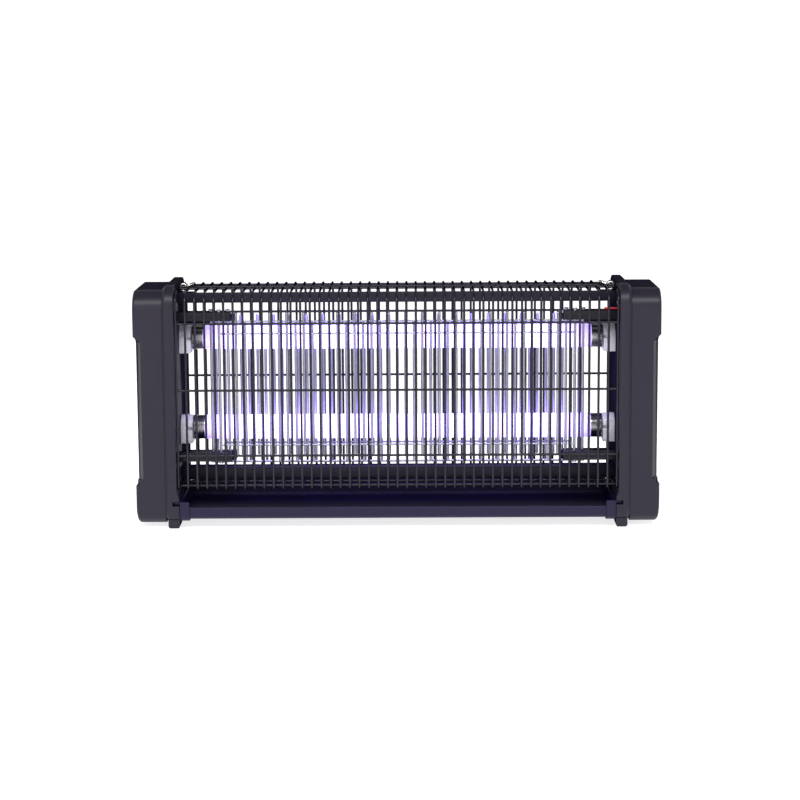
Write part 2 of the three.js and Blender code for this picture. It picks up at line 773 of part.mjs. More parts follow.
function leadPlace() {
  return [0, -GRID_OFFSET, upperArmZ + ARM_HEIGHT / 2 + GAP + LEAD_RADIUS];
}

function leadHole() {
  return bore('x', LEAD_RADIUS + GAP, [cageHalf - CUT_MARGIN, webOuter + CUT_MARGIN], leadPlace());
}

function liveLead() {
  return rod('x', LEAD_RADIUS, [cageHalf - LEAD_LENGTH, webOuter + LEAD_TAIL], leadPlace());
}

// ---------------------------------------------------------------- lamps and their holders

function lampTube(z) {
  const half = LAMP_LENGTH / 2 - LAMP_CAP_FLOOR - GAP;
  const neck = LAMP_LENGTH / 2 - LAMP_CAP_LENGTH - GAP;
  const inside = LAMP_NECK_RADIUS - LAMP_WALL;
  const profile = [
    [inside, -half],
    [LAMP_NECK_RADIUS, -half],
    [LAMP_NECK_RADIUS, -neck],
    [LAMP_RADIUS, -neck],
    [LAMP_RADIUS, neck],
    [LAMP_NECK_RADIUS, neck],
    [LAMP_NECK_RADIUS, half],
    [inside, half],
    [inside, -half],
  ].map(([r, h]) => new THREE.Vector2(r, h));
  const geometry = new THREE.LatheGeometry(profile, LAMP_SIDES);
  return toGeometry(toSolid(geometry.rotateZ(-Math.PI / 2).translate(0, 0, z)));
}

function lampCap(dir, z) {
  const face = LAMP_LENGTH / 2;
  const inner = face - LAMP_CAP_LENGTH;
  const cup = cut(
    rod('x', LAMP_CAP_RADIUS, [dir * inner, dir * face], [0, 0, z], LAMP_SIDES),
    rod(
      'x',
      LAMP_CAP_RADIUS - LAMP_CAP_WALL,
      [dir * (inner - CUT_MARGIN), dir * (face - LAMP_CAP_FLOOR)],
      [0, 0, z],
      LAMP_SIDES,
    ),
  );
  const pins = [-1, 1].map((turn) => rod(
    'x',
    PIN_RADIUS,
    [dir * (face - WELD), dir * (face + PIN_LENGTH)],
    [0, 0, z + turn * PIN_SPACING / 2],
  ));
  return join(cup, gather(pins));
}

function lampRotor(dir, z) {
  const inner = LAMP_LENGTH / 2 + RUN;
  const outer = inner + ROTOR_THICKNESS;
  const drum = rod('x', ROTOR_RADIUS, [dir * inner, dir * outer], [0, 0, z], ROTOR_SIDES);
  const slotHalf = PIN_RADIUS + GAP;
  const slot = block(
    [dir * (inner - CUT_MARGIN), dir * (LAMP_LENGTH / 2 + PIN_LENGTH + GAP)],
    [-slotHalf, slotHalf],
    [z - ROTOR_RADIUS - CUT_MARGIN, z + ROTOR_RADIUS + CUT_MARGIN],
  );
  return cut(drum, slot);
}

function lampHolder(dir, z) {
  const inner = LAMP_LENGTH / 2 + GAP;
  const outer = inner + HOLDER_THICKNESS;
  const dome = rod('x', HOLDER_RADIUS, [dir * inner, dir * outer], [0, 0, z], LAMP_SIDES);
  const flat = HOLDER_RADIUS * Math.cos(Math.PI / LAMP_SIDES);
  const base = block([dir * inner, dir * outer], [-flat, flat], [z - HOLDER_DROP, z]);
  const studs = [-1, 1].map((turn) => rod(
    'x',
    HOLDER_STUD_RADIUS,
    [dir * (outer - WELD), dir * (outer + GAP + HOLDER_STUD_LENGTH)],
    [0, 0, z + turn * HOLDER_STUD_OFFSET],
  ));
  const drumRoom = bore(
    'x',
    ROTOR_RADIUS + RUN / 2,
    [dir * (inner - CUT_MARGIN), dir * (LAMP_LENGTH / 2 + 2 * RUN + ROTOR_THICKNESS)],
    [0, 0, z],
    ROTOR_SIDES,
  );
  const pinHalf = PIN_RADIUS + GAP;
  const pinWay = block(
    [dir * (inner - CUT_MARGIN), dir * (LAMP_LENGTH / 2 + PIN_LENGTH + GAP)],
    [-HOLDER_RADIUS - CUT_MARGIN, 0],
    [z - pinHalf, z + pinHalf],
  );
  return cut(join(dome, base, ...studs), drumRoom, pinWay);
}

// ---------------------------------------------------------------- tray

// The trough in (Y, Z), grown outwards by a margin; its open top is cut at the given heights.
function troughShape(margin, frontTop, rearTop) {
  const front = -frameFront + TRAY_SETBACK - margin;
  const rear = frameFront - TRAY_SETBACK + margin;
  const base = TRAY_BASE - margin;
  const radius = TRAY_RADIUS + margin;
  const shape = new THREE.Shape();
  shape.moveTo(front, frontTop);
  shape.lineTo(front, base + radius);
  shape.absarc(front + radius, base + radius, radius, Math.PI, 1.5 * Math.PI);
  shape.lineTo(rear - radius, base);
  shape.absarc(rear - radius, base + radius, radius, -Math.PI / 2, 0);
  shape.lineTo(rear, rearTop);
  return shape;
}

function trough() {
  const reach = traySide - TRAY_END_WALL - GAP;
  const frontTop = TRAY_BASE + TRAY_FRONT_HEIGHT;
  const rearTop = TRAY_BASE + TRAY_REAR_HEIGHT;
  const outer = extrudeX(troughShape(0, frontTop, rearTop), [-reach, reach]);
  const inner = extrudeX(
    troughShape(-TRAY_WALL, rearTop + CUT_MARGIN, rearTop + CUT_MARGIN),
    [-reach - CUT_MARGIN, reach + CUT_MARGIN],
  );
  return cut(outer, inner);
}

function trayEnd(dir) {
  const body = extrudeX(
    troughShape(TRAY_END_WALL, trayEndTop, trayEndTop),
    [dir * (traySide - TRAY_END_LENGTH), dir * traySide],
  );
  const seat = extrudeX(
    troughShape(GAP, trayEndTop + CUT_MARGIN, trayEndTop + CUT_MARGIN),
    [dir * (traySide - TRAY_END_LENGTH - CUT_MARGIN), dir * (traySide - TRAY_END_WALL)],
  );
  const tongue = block(
    [dir * (traySide - WELD), dir * (cageHalf + TONGUE_WIDTH)],
    [tongueFront, tongueFront + TONGUE_LENGTH],
    [tongueTop - TONGUE_THICKNESS, tongueTop],
  );
  return join(cut(body, seat), tongue);
}

// ---------------------------------------------------------------- hanging hardware and screws

function hangingEye(dir) {
  const loop = new THREE.TorusGeometry(EYE_RADIUS, EYE_WIRE, WIRE_SIDES, EYE_STEPS);
  loop.rotateX(Math.PI / 2).translate(dir * eyeX, EYE_OFFSET, eyeZ);
  const shank = rod(
    'z',
    EYE_THREAD,
    [eyeZ - EYE_RADIUS, eyeZ - EYE_RADIUS - EYE_SHANK],
    [dir * eyeX, EYE_OFFSET, 0],
  );
  return join(loop, shank);
}

// The ring passes through the eye and leans inboard, resting low over the guard.
function hangingRing(dir) {
  const ring = new THREE.TorusGeometry(RING_RADIUS, RING_WIRE, WIRE_SIDES, RING_STEPS);
  ring.translate(RING_RADIUS, 0, 0);
  ring.rotateY(-ringLean);
  if (dir > 0) ring.rotateZ(Math.PI);
  return ring.translate(dir * eyeX, EYE_OFFSET, eyeZ);
}

// A pan-head screw along X, head at the given face, shank running towards heading.
function screw(face, heading, [y, z]) {
  return join(
    rod('x', SCREW_HEAD_RADIUS, [face, face - heading * SCREW_HEAD_HEIGHT], [0, y, z]),
    rod('x', SCREW_RADIUS, [face - heading * WELD, face + heading * SCREW_LENGTH], [0, y, z]),
  );
}

function capScrew(dir, place) {
  return screw(dir * (cageHalf - GAP), dir, place);
}

function railScrew(dir, place) {
  return screw(dir * (webOuter + GAP), -dir, place);
}

// ---------------------------------------------------------------- electrics

function ballast() {
  const inner = -(webOuter + GAP);
  const y = [-BALLAST.depth / 2, BALLAST.depth / 2];
  const top = BALLAST.rise + BALLAST.height;
  const can = block([inner, inner - BALLAST.width], y, [BALLAST.rise, top]);
  const foot = block(
    [inner, inner - BRACKET.thickness],
    y,
    [BALLAST.rise - BRACKET.height, top + BRACKET.height],
  );
  return join(can, foot);
}

function gridTransformer() {
  const inner = webOuter + GAP;
  const middle = CORE.rise + CORE.height / 2;
  const centreX = inner + CORE.width / 2;
  return join(
    blockAt([centreX, 0, middle], [CORE.width, CORE.depth, CORE.height]),
    blockAt([centreX, 0, middle], [COIL.width, COIL.depth, COIL.height]),
    block(
      [inner, inner + BRACKET.thickness],
      [-CORE.depth / 2, CORE.depth / 2],
      [CORE.rise - BRACKET.height, CORE.rise + CORE.height + BRACKET.height],
    ),
  );
}

function terminalBlock() {
  const inner = webOuter + GAP;
  const body = block(
    [inner, inner + TERMINAL.width],
    [-TERMINAL.depth / 2, TERMINAL.depth / 2],
    [TERMINAL.rise, TERMINAL.rise + TERMINAL.height],
  );
  const pitch = TERMINAL.depth / TERMINAL.ways;
  const holes = Array.from({ length: TERMINAL.ways }, (_, way) => bore(
    'z',
    TERMINAL.hole,
    [TERMINAL.rise - CUT_MARGIN, TERMINAL.rise + TERMINAL.height + CUT_MARGIN],
    [inner + TERMINAL.width / 2, (way - (TERMINAL.ways - 1) / 2) * pitch, 0],
    TERMINAL.sides,
  ));
  return cut(body, ...holes);
}

// The switch and the gland stand one above the other in the right cap's rear wall.
const rearX = capInner + REAR_FITTINGS;
const switchZ = SWITCH.rise;
const rockerPivot = [rearX, capFront + SWITCH.flange, switchZ];

function switchHole() {
  return blockAt(
    [rearX, capFront, switchZ],
    [SWITCH.width + 2 * GAP, HOLE_DEPTH, SWITCH.height + 2 * GAP],
  );
}

function switchHousing() {
  const face = capFront + GAP + SWITCH.flange;
  const body = block(
    [rearX - SWITCH.width / 2, rearX + SWITCH.width / 2],
    [face - WELD, capFront - SWITCH.depth],
    [switchZ - SWITCH.height / 2, switchZ + SWITCH.height / 2],
  );
  const flangeHalfX = SWITCH.width / 2 + SWITCH.proud;
  const flangeHalfZ = SWITCH.height / 2 + SWITCH.proud;
  const flange = block(
    [rearX - flangeHalfX, rearX + flangeHalfX],
    [capFront + GAP, face],
    [switchZ - flangeHalfZ, switchZ + flangeHalfZ],
  );
  const room = block(
    [rearX - SWITCH.width / 2 + SWITCH.wall, rearX + SWITCH.width / 2 - SWITCH.wall],
    [face + CUT_MARGIN, capFront - SWITCH.depth + SWITCH.wall],
    [switchZ - SWITCH.height / 2 + SWITCH.wall, switchZ + SWITCH.height / 2 - SWITCH.wall],
  );
  return cut(join(body, flange), room);
}

// The rocker's outline in (Y, Z) about its pivot: a flat wedge whose two halves meet at an angle.
function switchRocker() {
  const halfX = SWITCH.width / 2 - SWITCH.wall - GAP;
  const halfZ = SWITCH.height / 2 - SWITCH.wall - RUN;
  const drop = Math.tan(ROCKER.lean) * halfZ;
  const points = [
    [-ROCKER.depth, 0],
    [-drop, -halfZ],
    [ROCKER.swell - drop / 2, -halfZ],
    [0, 0],
    [ROCKER.swell - drop / 2, halfZ],
    [-drop, halfZ],
  ];
  const shape = new THREE.Shape(points.map(([y, z]) => new THREE.Vector2(y, z)));
  const geometry = extrudeX(shape, [-halfX, halfX]);
  return geometry.rotateX(ROCKER.lean).translate(...rockerPivot);
}

function glandHole() {
  const through = [capFront - HOLE_DEPTH, capFront + CUT_MARGIN];
  return bore('y', GLAND.radius + GAP, through, [rearX, 0, GLAND.rise]);
}

function cordGland() {
  const place = [rearX, 0, GLAND.rise];
  const outer = capFront + GAP + GLAND.thickness;
  return cut(
    join(
      rod('y', GLAND.flange, [capFront + GAP, outer], place, FLANGE_SIDES),
      rod('y', GLAND.radius, [outer - WELD, capFront - GLAND.length], place),
    ),
    bore('y', GLAND.bore, [outer + CUT_MARGIN, capFront - GLAND.length - CUT_MARGIN], place),
  );
}

// ---------------------------------------------------------------- assembly

for (const side of SIDES) {
  add(`${side.name}_end_cap`, endCap(side.dir), housingPlastic);
  add(`${side.name}_end_frame`, endFrame(side.dir), housingPlastic);
  add(`${side.name}_tray_end`, trayEnd(side.dir), housingPlastic);
  add(`${side.name}_hanging_eye`, hangingEye(side.dir), chrome);
  add(`${side.name}_hanging_ring`, hangingRing(side.dir), chrome);
  HEIGHTS.forEach((height, index) => {
    add(`${height}_${side.name}_cap_screw`, capScrew(side.dir, capScrewPlaces[index]), zincSteel);
    add(`${height}_${side.name}_rail_screw`, railScrew(side.dir, railScrewPlaces[index]), zincSteel);
  });
  for (const face of FACES) {
    for (const place of ARMS) {
      const z = place.z - face.gridDrop;
      add(`${face.name}_${side.name}_${place.name}_arm`, arm(side, face, z), darkPlastic);
    }
  }
  for (const lamp of LAMPS) {
    add(`${lamp.name}_${side.name}_lamp_cap`, lampCap(side.dir, lamp.z), capMetal);
    add(`${lamp.name}_${side.name}_rotor`, lampRotor(side.dir, lamp.z), palePlastic);
    add(`${lamp.name}_${side.name}_holder`, lampHolder(side.dir, lamp.z), palePlastic);
  }
}
for (const face of FACES) {
  add(`${face.name}_guard`, guard(face), guardPaint);
  add(`${face.name}_guard_cross_frame`, guardCrossFrame(face), guardPaint);
  for (const wiring of COMBS) {
    add(`${face.name}_${wiring.name}_grid`, comb(face, wiring), gridSteel);
  }
}
for (const lamp of LAMPS) {
  add(`${lamp.name}_lamp_tube`, lampTube(lamp.z), lampGlass);
}
add('top_rail', topRail(), railPaint);
add('bottom_rail', bottomRail(), railPaint);
add('collection_tray', trough(), housingPlastic);
add('ballast', ballast(), ballastPaint);
add('grid_transformer', gridTransformer(), coreSteel);
add('terminal_block', terminalBlock(), palePlastic);
add('switch_housing', switchHousing(), darkPlastic);
add('switch_rocker', switchRocker(), darkPlastic);
add('cord_gland', cordGland(), darkPlastic);
add('live_lead', liveLead(), redSleeve);

export default group;
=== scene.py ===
"""Electric bug zapper: finished pieces, materials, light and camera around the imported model.

Lengths named *_mm are millimetres. Everything that Blender holds is in metres.
X runs along the lamps, -Y is the front and +Z is up.
"""

import logging
import math
from collections.abc import Callable, Iterable, Sequence
from dataclasses import dataclass
from enum import Enum

import bmesh
import bpy
from mathutils import Matrix, Vector


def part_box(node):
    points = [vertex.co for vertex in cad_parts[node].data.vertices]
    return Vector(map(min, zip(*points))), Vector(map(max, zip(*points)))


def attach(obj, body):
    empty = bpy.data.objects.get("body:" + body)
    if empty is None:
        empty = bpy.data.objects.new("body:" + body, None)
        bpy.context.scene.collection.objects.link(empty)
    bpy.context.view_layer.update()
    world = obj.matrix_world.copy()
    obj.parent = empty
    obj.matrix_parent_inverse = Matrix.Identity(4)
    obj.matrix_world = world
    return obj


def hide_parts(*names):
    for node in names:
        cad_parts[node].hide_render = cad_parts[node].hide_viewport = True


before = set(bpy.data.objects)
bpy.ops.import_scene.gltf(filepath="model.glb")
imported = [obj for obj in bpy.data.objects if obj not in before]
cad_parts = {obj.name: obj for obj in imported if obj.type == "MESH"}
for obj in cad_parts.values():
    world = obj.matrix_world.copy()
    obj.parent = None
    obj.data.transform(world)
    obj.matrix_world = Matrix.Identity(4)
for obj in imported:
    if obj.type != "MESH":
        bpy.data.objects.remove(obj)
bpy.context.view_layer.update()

MM = 0.001
MERGE_M = 0.00001
EASED_FROM_DEG = 32.0
GRAZING_FROM, GRAZING_TO = 0.45, 0.85

log = logging.getLogger("bug_zapper")

Point = tuple[float, float, float]


class Side(Enum):
    """An end of the object; the value is the sign of X there."""

    LEFT = -1
    RIGHT = 1

    @property
    def word(self) -> str:
        """The side's name as node names spell it."""
        return self.name.lower()


class Face(Enum):
    """The front or the rear; the value is the sign of Y there."""

    FRONT = -1
    REAR = 1

    @property
    def word(self) -> str:
        """The face's name as node names spell it."""
        return self.name.lower()


class Level(Enum):
    """Upper or lower, for whatever comes as a pair in height."""

    UPPER = 1
    LOWER = -1

    @property
    def word(self) -> str:
        """The level's name as node names spell it."""
        return self.name.lower()


# ------------------------------------------------------------------ finishes


def linear(hex_colour: str) -> tuple[float, float, float, float]:
    """Turns an sRGB hex colour such as "#4A4650" into the linear RGBA that nodes take.

    Args:
        hex_colour: a hash and six hex digits.

    Returns:
        Red, green, blue and an alpha of 1.
    """

    def decode(channel: float) -> float:
        """Undoes the sRGB curve on one channel."""
        return channel / 12.92 if channel <= 0.04045 else ((channel + 0.055) / 1.055) ** 2.4

    red, green, blue = (int(hex_colour[i : i + 2], 16) / 255 for i in (1, 3, 5))
    return decode(red), decode(green), decode(blue), 1.0


def add_node(
    tree: bpy.types.NodeTree,
    kind: str,
    settings: dict[str, object] | None = None,
    values: dict[str | int, object] | None = None,
    links: dict[str | int, bpy.types.NodeSocket] | None = None,
) -> bpy.types.Node:
    """Adds a node with its settings, socket values and incoming links.

    Args:
        tree: the shader or geometry tree that gets the node.
        kind: the node's type name.
        settings: attributes of the node itself.
        values: default values by input socket.
        links: sources by input socket.

    Returns:
        The new node.
    """
    node = tree.nodes.new(kind)
    for name, value in (settings or {}).items():
        setattr(node, name, value)
    for socket, value in (values or {}).items():
        node.inputs[socket].default_value = value
    for socket, source in (links or {}).items():
        tree.links.new(source, node.inputs[socket])
    return node


@dataclass(frozen=True)
class Finish:
    """A real surface: a base colour, a second tone it drifts to, and its fine relief.

    The drift gives large faces the slight unevenness of a real coat or moulding. The grain is
    a bump whose size and depth come from the real surface.
    """

    name: str
    colour: str
    drift_colour: str
    drift_mm: float
    grain_mm: float
    grain_depth_mm: float
    roughness: float
    roughness_spread: float = 0.06
    metallic: float = 0.0
    ior: float = 1.5
    gloss: float = 0.5
    grazing_gloss: float = 0.5
    stretch: Point = (1.0, 1.0, 1.0)

    def build(self) -> bpy.types.Material:
        """Makes the material once and returns the same one after that."""
        known = bpy.data.materials.get(self.name)
        if known:
            return known
        material = bpy.data.materials.new(self.name)
        material.use_nodes = True
        material.node_tree.nodes.clear()
        self.wire(material.node_tree)
        material.diffuse_color = linear(self.colour)
        return material

    def wire(self, tree: bpy.types.NodeTree) -> None:
        """Fills the material's tree.

        Args:
            tree: the empty shader tree.
        """
        place = add_node(tree, "ShaderNodeTexCoord")
        turned = add_node(
            tree,
            "ShaderNodeMapping",
            values={"Scale": self.stretch},
            links={"Vector": place.outputs["Object"]},
        )
        drift = add_node(
            tree,
            "ShaderNodeTexNoise",
            values={"Scale": 1 / (self.drift_mm * MM), "Detail": 3.0, "Roughness": 0.55},
            links={"Vector": turned.outputs["Vector"]},
        )
        colour = add_node(
            tree,
            "ShaderNodeMix",
            settings={"data_type": "RGBA"},
            values={"A": linear(self.colour), "B": linear(self.drift_colour)},
            links={"Factor": drift.outputs["Fac"]},
        )
        shine = add_node(
            tree,
            "ShaderNodeMapRange",
            values={
                "To Min": self.roughness - self.roughness_spread,
                "To Max": self.roughness + self.roughness_spread,
            },
            links={"Value": drift.outputs["Fac"]},
        )
        grain = add_node(
            tree,
            "ShaderNodeTexNoise",
            values={"Scale": 1 / (self.grain_mm * MM), "Detail": 2.0, "Roughness": 0.6},
            links={"Vector": turned.outputs["Vector"]},
        )
        relief = add_node(
            tree,
            "ShaderNodeBump",
            values={"Strength": 1.0, "Distance": self.grain_depth_mm * MM},
            links={"Height": grain.outputs["Fac"]},
        )
        shader = add_node(
            tree,
            "ShaderNodeBsdfPrincipled",
            values={
                "Metallic": self.metallic,
                "IOR": self.ior,
                "Specular IOR Level": self.gloss,
            },
            links={
                "Base Color": colour.outputs["Result"],
                "Roughness": shine.outputs["Result"],
                "Normal": relief.outputs["Normal"],
            },
        )
        if self.grazing_gloss != self.gloss:
            self.shade_grazing(tree, shader)
        add_node(tree, "ShaderNodeOutputMaterial", links={"Surface": shader.outputs["BSDF"]})

    def shade_grazing(self, tree: bpy.types.NodeTree, shader: bpy.types.Node) -> None:
        """Lets a textured surface lose its gloss where it is seen along its grain.

        Args:
            tree: the material's tree.
            shader: the surface's own shader.
        """
        tilt = add_node(tree, "ShaderNodeLayerWeight", values={"Blend": 0.5})
        gloss = add_node(
            tree,
            "ShaderNodeMapRange",
            values={
                "From Min": GRAZING_FROM,
                "From Max": GRAZING_TO,
                "To Min": self.gloss,
                "To Max": self.grazing_gloss,
            },
            links={"Value": tilt.outputs["Facing"]},
        )
        tree.links.new(gloss.outputs["Result"], shader.inputs["Specular IOR Level"])


@dataclass(frozen=True)
class LitPhosphor(Finish):
    """A burning lamp tube: the powder glows nearly evenly, and more violet towards its cathodes."""

    glow: str = "#9F8CFF"
    cathode_glow: str = "#A78FFF"
    strength: float = 6.0
    cathode_strength: float = 1.1
    even_to_mm: float = 165.0
    ends_at_mm: float = 210.0

    def wire(self, tree: bpy.types.NodeTree) -> None:
        """Adds the glow to the powder's own surface.

        Args:
            tree: the empty shader tree.
        """
        super().wire(tree)
        shader = next(node for node in tree.nodes if node.type == "BSDF_PRINCIPLED")
        place = add_node(tree, "ShaderNodeTexCoord")
        split = add_node(
            tree, "ShaderNodeSeparateXYZ", links={"Vector": place.outputs["Object"]}
        )
        away = add_node(
            tree,
            "ShaderNodeMath",
            settings={"operation": "ABSOLUTE"},
            links={0: split.outputs["X"]},
        )
        towards_end = add_node(
            tree,
            "ShaderNodeMapRange",
            settings={"interpolation_type": "SMOOTHSTEP"},
            values={"From Min": self.even_to_mm * MM, "From Max": self.ends_at_mm * MM},
            links={"Value": away.outputs["Value"]},
        )
        tint = add_node(
            tree,
            "ShaderNodeMix",
            settings={"data_type": "RGBA"},
            values={"A": linear(self.glow), "B": linear(self.cathode_glow)},
            links={"Factor": towards_end.outputs["Result"]},
        )
        power = add_node(
            tree,
            "ShaderNodeMapRange",
            values={"To Min": self.strength, "To Max": self.cathode_strength},
            links={"Value": towards_end.outputs["Result"]},
        )
        tree.links.new(tint.outputs["Result"], shader.inputs["Emission Color"])
        tree.links.new(power.outputs["Result"], shader.inputs["Emission Strength"])


# Injection-moulded ABS with a fine spark-eroded texture: a soft, broad sheen that the texture
# shades out at grazing angles.
CHARCOAL_ABS = Finish(
    name="charcoal_moulded_abs",
    colour="#1E1B26",
    drift_colour="#24212D",
    drift_mm=60,
    grain_mm=0.9,
    grain_depth_mm=0.035,
    roughness=0.36,
    roughness_spread=0.05,
    gloss=0.2,
    grazing_gloss=0.0,
)
# The same ABS in the sliding tray. Its violet tint stands in for the lamps' light on it.
TRAY_ABS = Finish(
    name="tray_moulded_abs",
    colour="#19152E",
    drift_colour="#1E1A34",
    drift_mm=40,
    grain_mm=1.1,
    grain_depth_mm=0.04,
    roughness=0.38,
    roughness_spread=0.05,
    gloss=0.18,
    grazing_gloss=0.0,
)
# Phenolic and nylon for electrical parts: near black and slightly glossy.
BLACK_NYLON = Finish(
    name="black_moulded_nylon",
    colour="#121018",
    drift_colour="#18161F",
    drift_mm=18,
    grain_mm=0.8,
    grain_depth_mm=0.02,
    roughness=0.42,
    gloss=0.3,
    grazing_gloss=0.0,
)
# Polycarbonate lamp holders: milky white, warm where the wall is thick.
WHITE_POLYCARBONATE = Finish(
    name="white_moulded_polycarbonate",
    colour="#D8D4E2",
    drift_colour="#E4E1EA",
    drift_mm=15,
    grain_mm=0.9,
    grain_depth_mm=0.015,
    roughness=0.35,
)
# Powder coat on drawn wire, seen as a satin black with a faint orange peel.
BLACK_POWDER_COAT = Finish(
    name="black_powder_coated_wire",
    colour="#0C0914",
    drift_colour="#120F1B",
    drift_mm=12,
    grain_mm=1.3,
    grain_depth_mm=0.05,
    roughness=0.32,
    roughness_spread=0.05,
    gloss=0.35,
    grazing_gloss=0.0,
)
# Enamel on the folded rails, greyer than the wire and flatter.
GREY_ENAMEL = Finish(
    name="dark_grey_enamelled_steel",
    colour="#1B1828",
    drift_colour="#221F2F",
    drift_mm=35,
    grain_mm=1.5,
    grain_depth_mm=0.03,
    roughness=0.45,
    gloss=0.25,
    grazing_gloss=0.0,
)
# Cold-drawn stainless rod: bright, with fine lines along its length.
DRAWN_STAINLESS = Finish(
    name="drawn_stainless_rod",
    colour="#B4B3C0",
    drift_colour="#9F9EAD",
    drift_mm=9,
    grain_mm=0.35,
    grain_depth_mm=0.006,
    roughness=0.36,
    roughness_spread=0.06,
    metallic=1.0,
    stretch=(1.0, 1.0, 0.08),
)
# Pressed aluminium lamp caps: soft mirror with turning marks round the axis.
PRESSED_ALUMINIUM = Finish(
    name="pressed_aluminium",
    colour="#C9C6C8",
    drift_colour="#B3AFB4",
    drift_mm=6,
    grain_mm=0.5,
    grain_depth_mm=0.004,
    roughness=0.24,
    roughness_spread=0.05,
    metallic=1.0,
    stretch=(1.0, 0.15, 0.15),
)
# Bright nickel plate on the hanging hardware.
BRIGHT_NICKEL = Finish(
    name="bright_nickel_plate",
    colour="#DAD8D6",
    drift_colour="#C9C7C6",
    drift_mm=5,
    grain_mm=0.8,
    grain_depth_mm=0.006,
    roughness=0.12,
    roughness_spread=0.04,
    metallic=1.0,
)
# Zinc plate on the screws: greyer and hazier than nickel.
ZINC_PLATE = Finish(
    name="zinc_plated_steel",
    colour="#9B9DA2",
    drift_colour="#B2B3B2",
    drift_mm=3,
    grain_mm=0.5,
    grain_depth_mm=0.01,
    roughness=0.34,
    roughness_spread=0.08,
    metallic=1.0,
)
# Brass contact pins.
PIN_BRASS = Finish(
    name="brass_contact_pin",
    colour="#C8AE72",
    drift_colour="#B89A5C",
    drift_mm=3,
    grain_mm=0.4,
    grain_depth_mm=0.008,
    roughness=0.3,
    metallic=1.0,
)
# White enamelled can of the lamp gear.
WHITE_ENAMEL = Finish(
    name="white_enamelled_can",
    colour="#C4C3BC",
    drift_colour="#CFCEC8",
    drift_mm=30,
    grain_mm=1.4,
    grain_depth_mm=0.03,
    roughness=0.38,
)
# Silicon-steel laminations under dark varnish: stacked lines across the core.
VARNISHED_CORE = Finish(
    name="varnished_laminations",
    colour="#3A3733",
    drift_colour="#57524A",
    drift_mm=7,
    grain_mm=0.6,
    grain_depth_mm=0.08,
    roughness=0.5,
    roughness_spread=0.1,
    metallic=0.6,
    stretch=(1.0, 0.1, 1.0),
)
# Soft PVC sleeving.
RED_PVC = Finish(
    name="red_pvc_sleeve",
    colour="#B3161F",
    drift_colour="#C32330",
    drift_mm=4,
    grain_mm=0.7,
    grain_depth_mm=0.02,
    roughness=0.35,
)
# White phosphor behind clear glass.
GLOWING_TUBE = LitPhosphor(
    name="lit_phosphor_tube",
    colour="#ECE8F6",
    drift_colour="#F2EFFA",
    drift_mm=30,
    grain_mm=2.0,
    grain_depth_mm=0.004,
    roughness=0.12,
    roughness_spread=0.02,
)
# Matt seamless studio paper.
STUDIO_PAPER = Finish(
    name="studio_paper",
    colour="#F4F4F5",
    drift_colour="#F6F6F7",
    drift_mm=400,
    grain_mm=2.0,
    grain_depth_mm=0.02,
    roughness=0.7,
)


# ------------------------------------------------------------------ mesh tools


def to_mesh(name: str, solid: bmesh.types.BMesh) -> bpy.types.Mesh:
    """Turns a bmesh into a mesh with its faces pointing out, and frees the bmesh.

    Args:
        name: the mesh's name.
        solid: one or more closed shells.

    Returns:
        The mesh.
    """
    bmesh.ops.remove_doubles(solid, verts=solid.verts, dist=MERGE_M)
    bmesh.ops.recalc_face_normals(solid, faces=solid.faces)
    mesh = bpy.data.meshes.new(name)
    solid.to_mesh(mesh)
    solid.free()
    return mesh


def soften(mesh: bpy.types.Mesh, sharp_deg: float = EASED_FROM_DEG) -> bpy.types.Mesh:
    """Shades a mesh smooth except across edges sharper than an angle.

    Args:
        mesh: the mesh to shade.
        sharp_deg: the angle between faces from which an edge stays sharp.

    Returns:
        The same mesh.
    """
    work = bmesh.new()
    work.from_mesh(mesh)
    limit = math.radians(sharp_deg)
    for edge in work.edges:
        edge.smooth = len(edge.link_faces) == 2 and edge.calc_face_angle(0.0) < limit
    for face in work.faces:
        face.smooth = True
    work.to_mesh(mesh)
    work.free()
    return mesh


def loft(rings: Sequence[Sequence[Point]], ring_closed: bool = False) -> bmesh.types.BMesh:
    """Skins a run of rings with the same number of points.

    Args:
        rings: the rings, in millimetres.
        ring_closed: whether the last ring joins the first; if not, both ends get a face.

    Returns:
        The skin as a closed bmesh, in metres.
    """
    solid = bmesh.new()
    rows = [[solid.verts.new(Vector(point) * MM) for point in ring] for ring in rings]
    pairs = list(zip(rows, rows[1:]))
    if ring_closed:
        pairs.append((rows[-1], rows[0]))
    else:
        solid.faces.new(rows[0])
        solid.faces.new(rows[-1][::-1])
    for low, high in pairs:
        for i in range(len(low)):
            j = (i + 1) % len(low)
            solid.faces.new((low[i], high[i], high[j], low[j]))
    return solid


def lathe_x(
    profile: Sequence[tuple[float, float]],
    y_mm: float,
    z_mm: float,
    segments: int = 48,
    hollow: bool = False,
) -> bmesh.types.BMesh:
    """Turns a profile of (x, radius) pairs about a line along X.

    Args:
        profile: places along X and radii there, in millimetres.
        y_mm: the line's Y.
        z_mm: the line's Z.
        segments: points round the circle.
        hollow: whether the profile is a closed wall section instead of a solid's outline.

    Returns:
        The turned body.
    """
    rings = [
        [
            (
                x,
                y_mm + radius * math.cos(math.tau * i / segments),
                z_mm + radius * math.sin(math.tau * i / segments),
            )
            for i in range(segments)
        ]
        for x, radius in profile
    ]
    return loft(rings, ring_closed=hollow)


def arc(
    centre: tuple[float, float], radius: float, start_deg: float, end_deg: float, steps: int
) -> list[tuple[float, float]]:
    """Points on an arc in a plane, both ends included.

    Args:
        centre: the arc's centre.
        radius: its radius.
        start_deg: the angle it starts at.
        end_deg: the angle it ends at.
        steps: the number of spans.

    Returns:
        The points in order.
    """
    angles = (math.radians(start_deg + (end_deg - start_deg) * i / steps) for i in range(steps + 1))
    return [(centre[0] + radius * math.cos(a), centre[1] + radius * math.sin(a)) for a in angles]


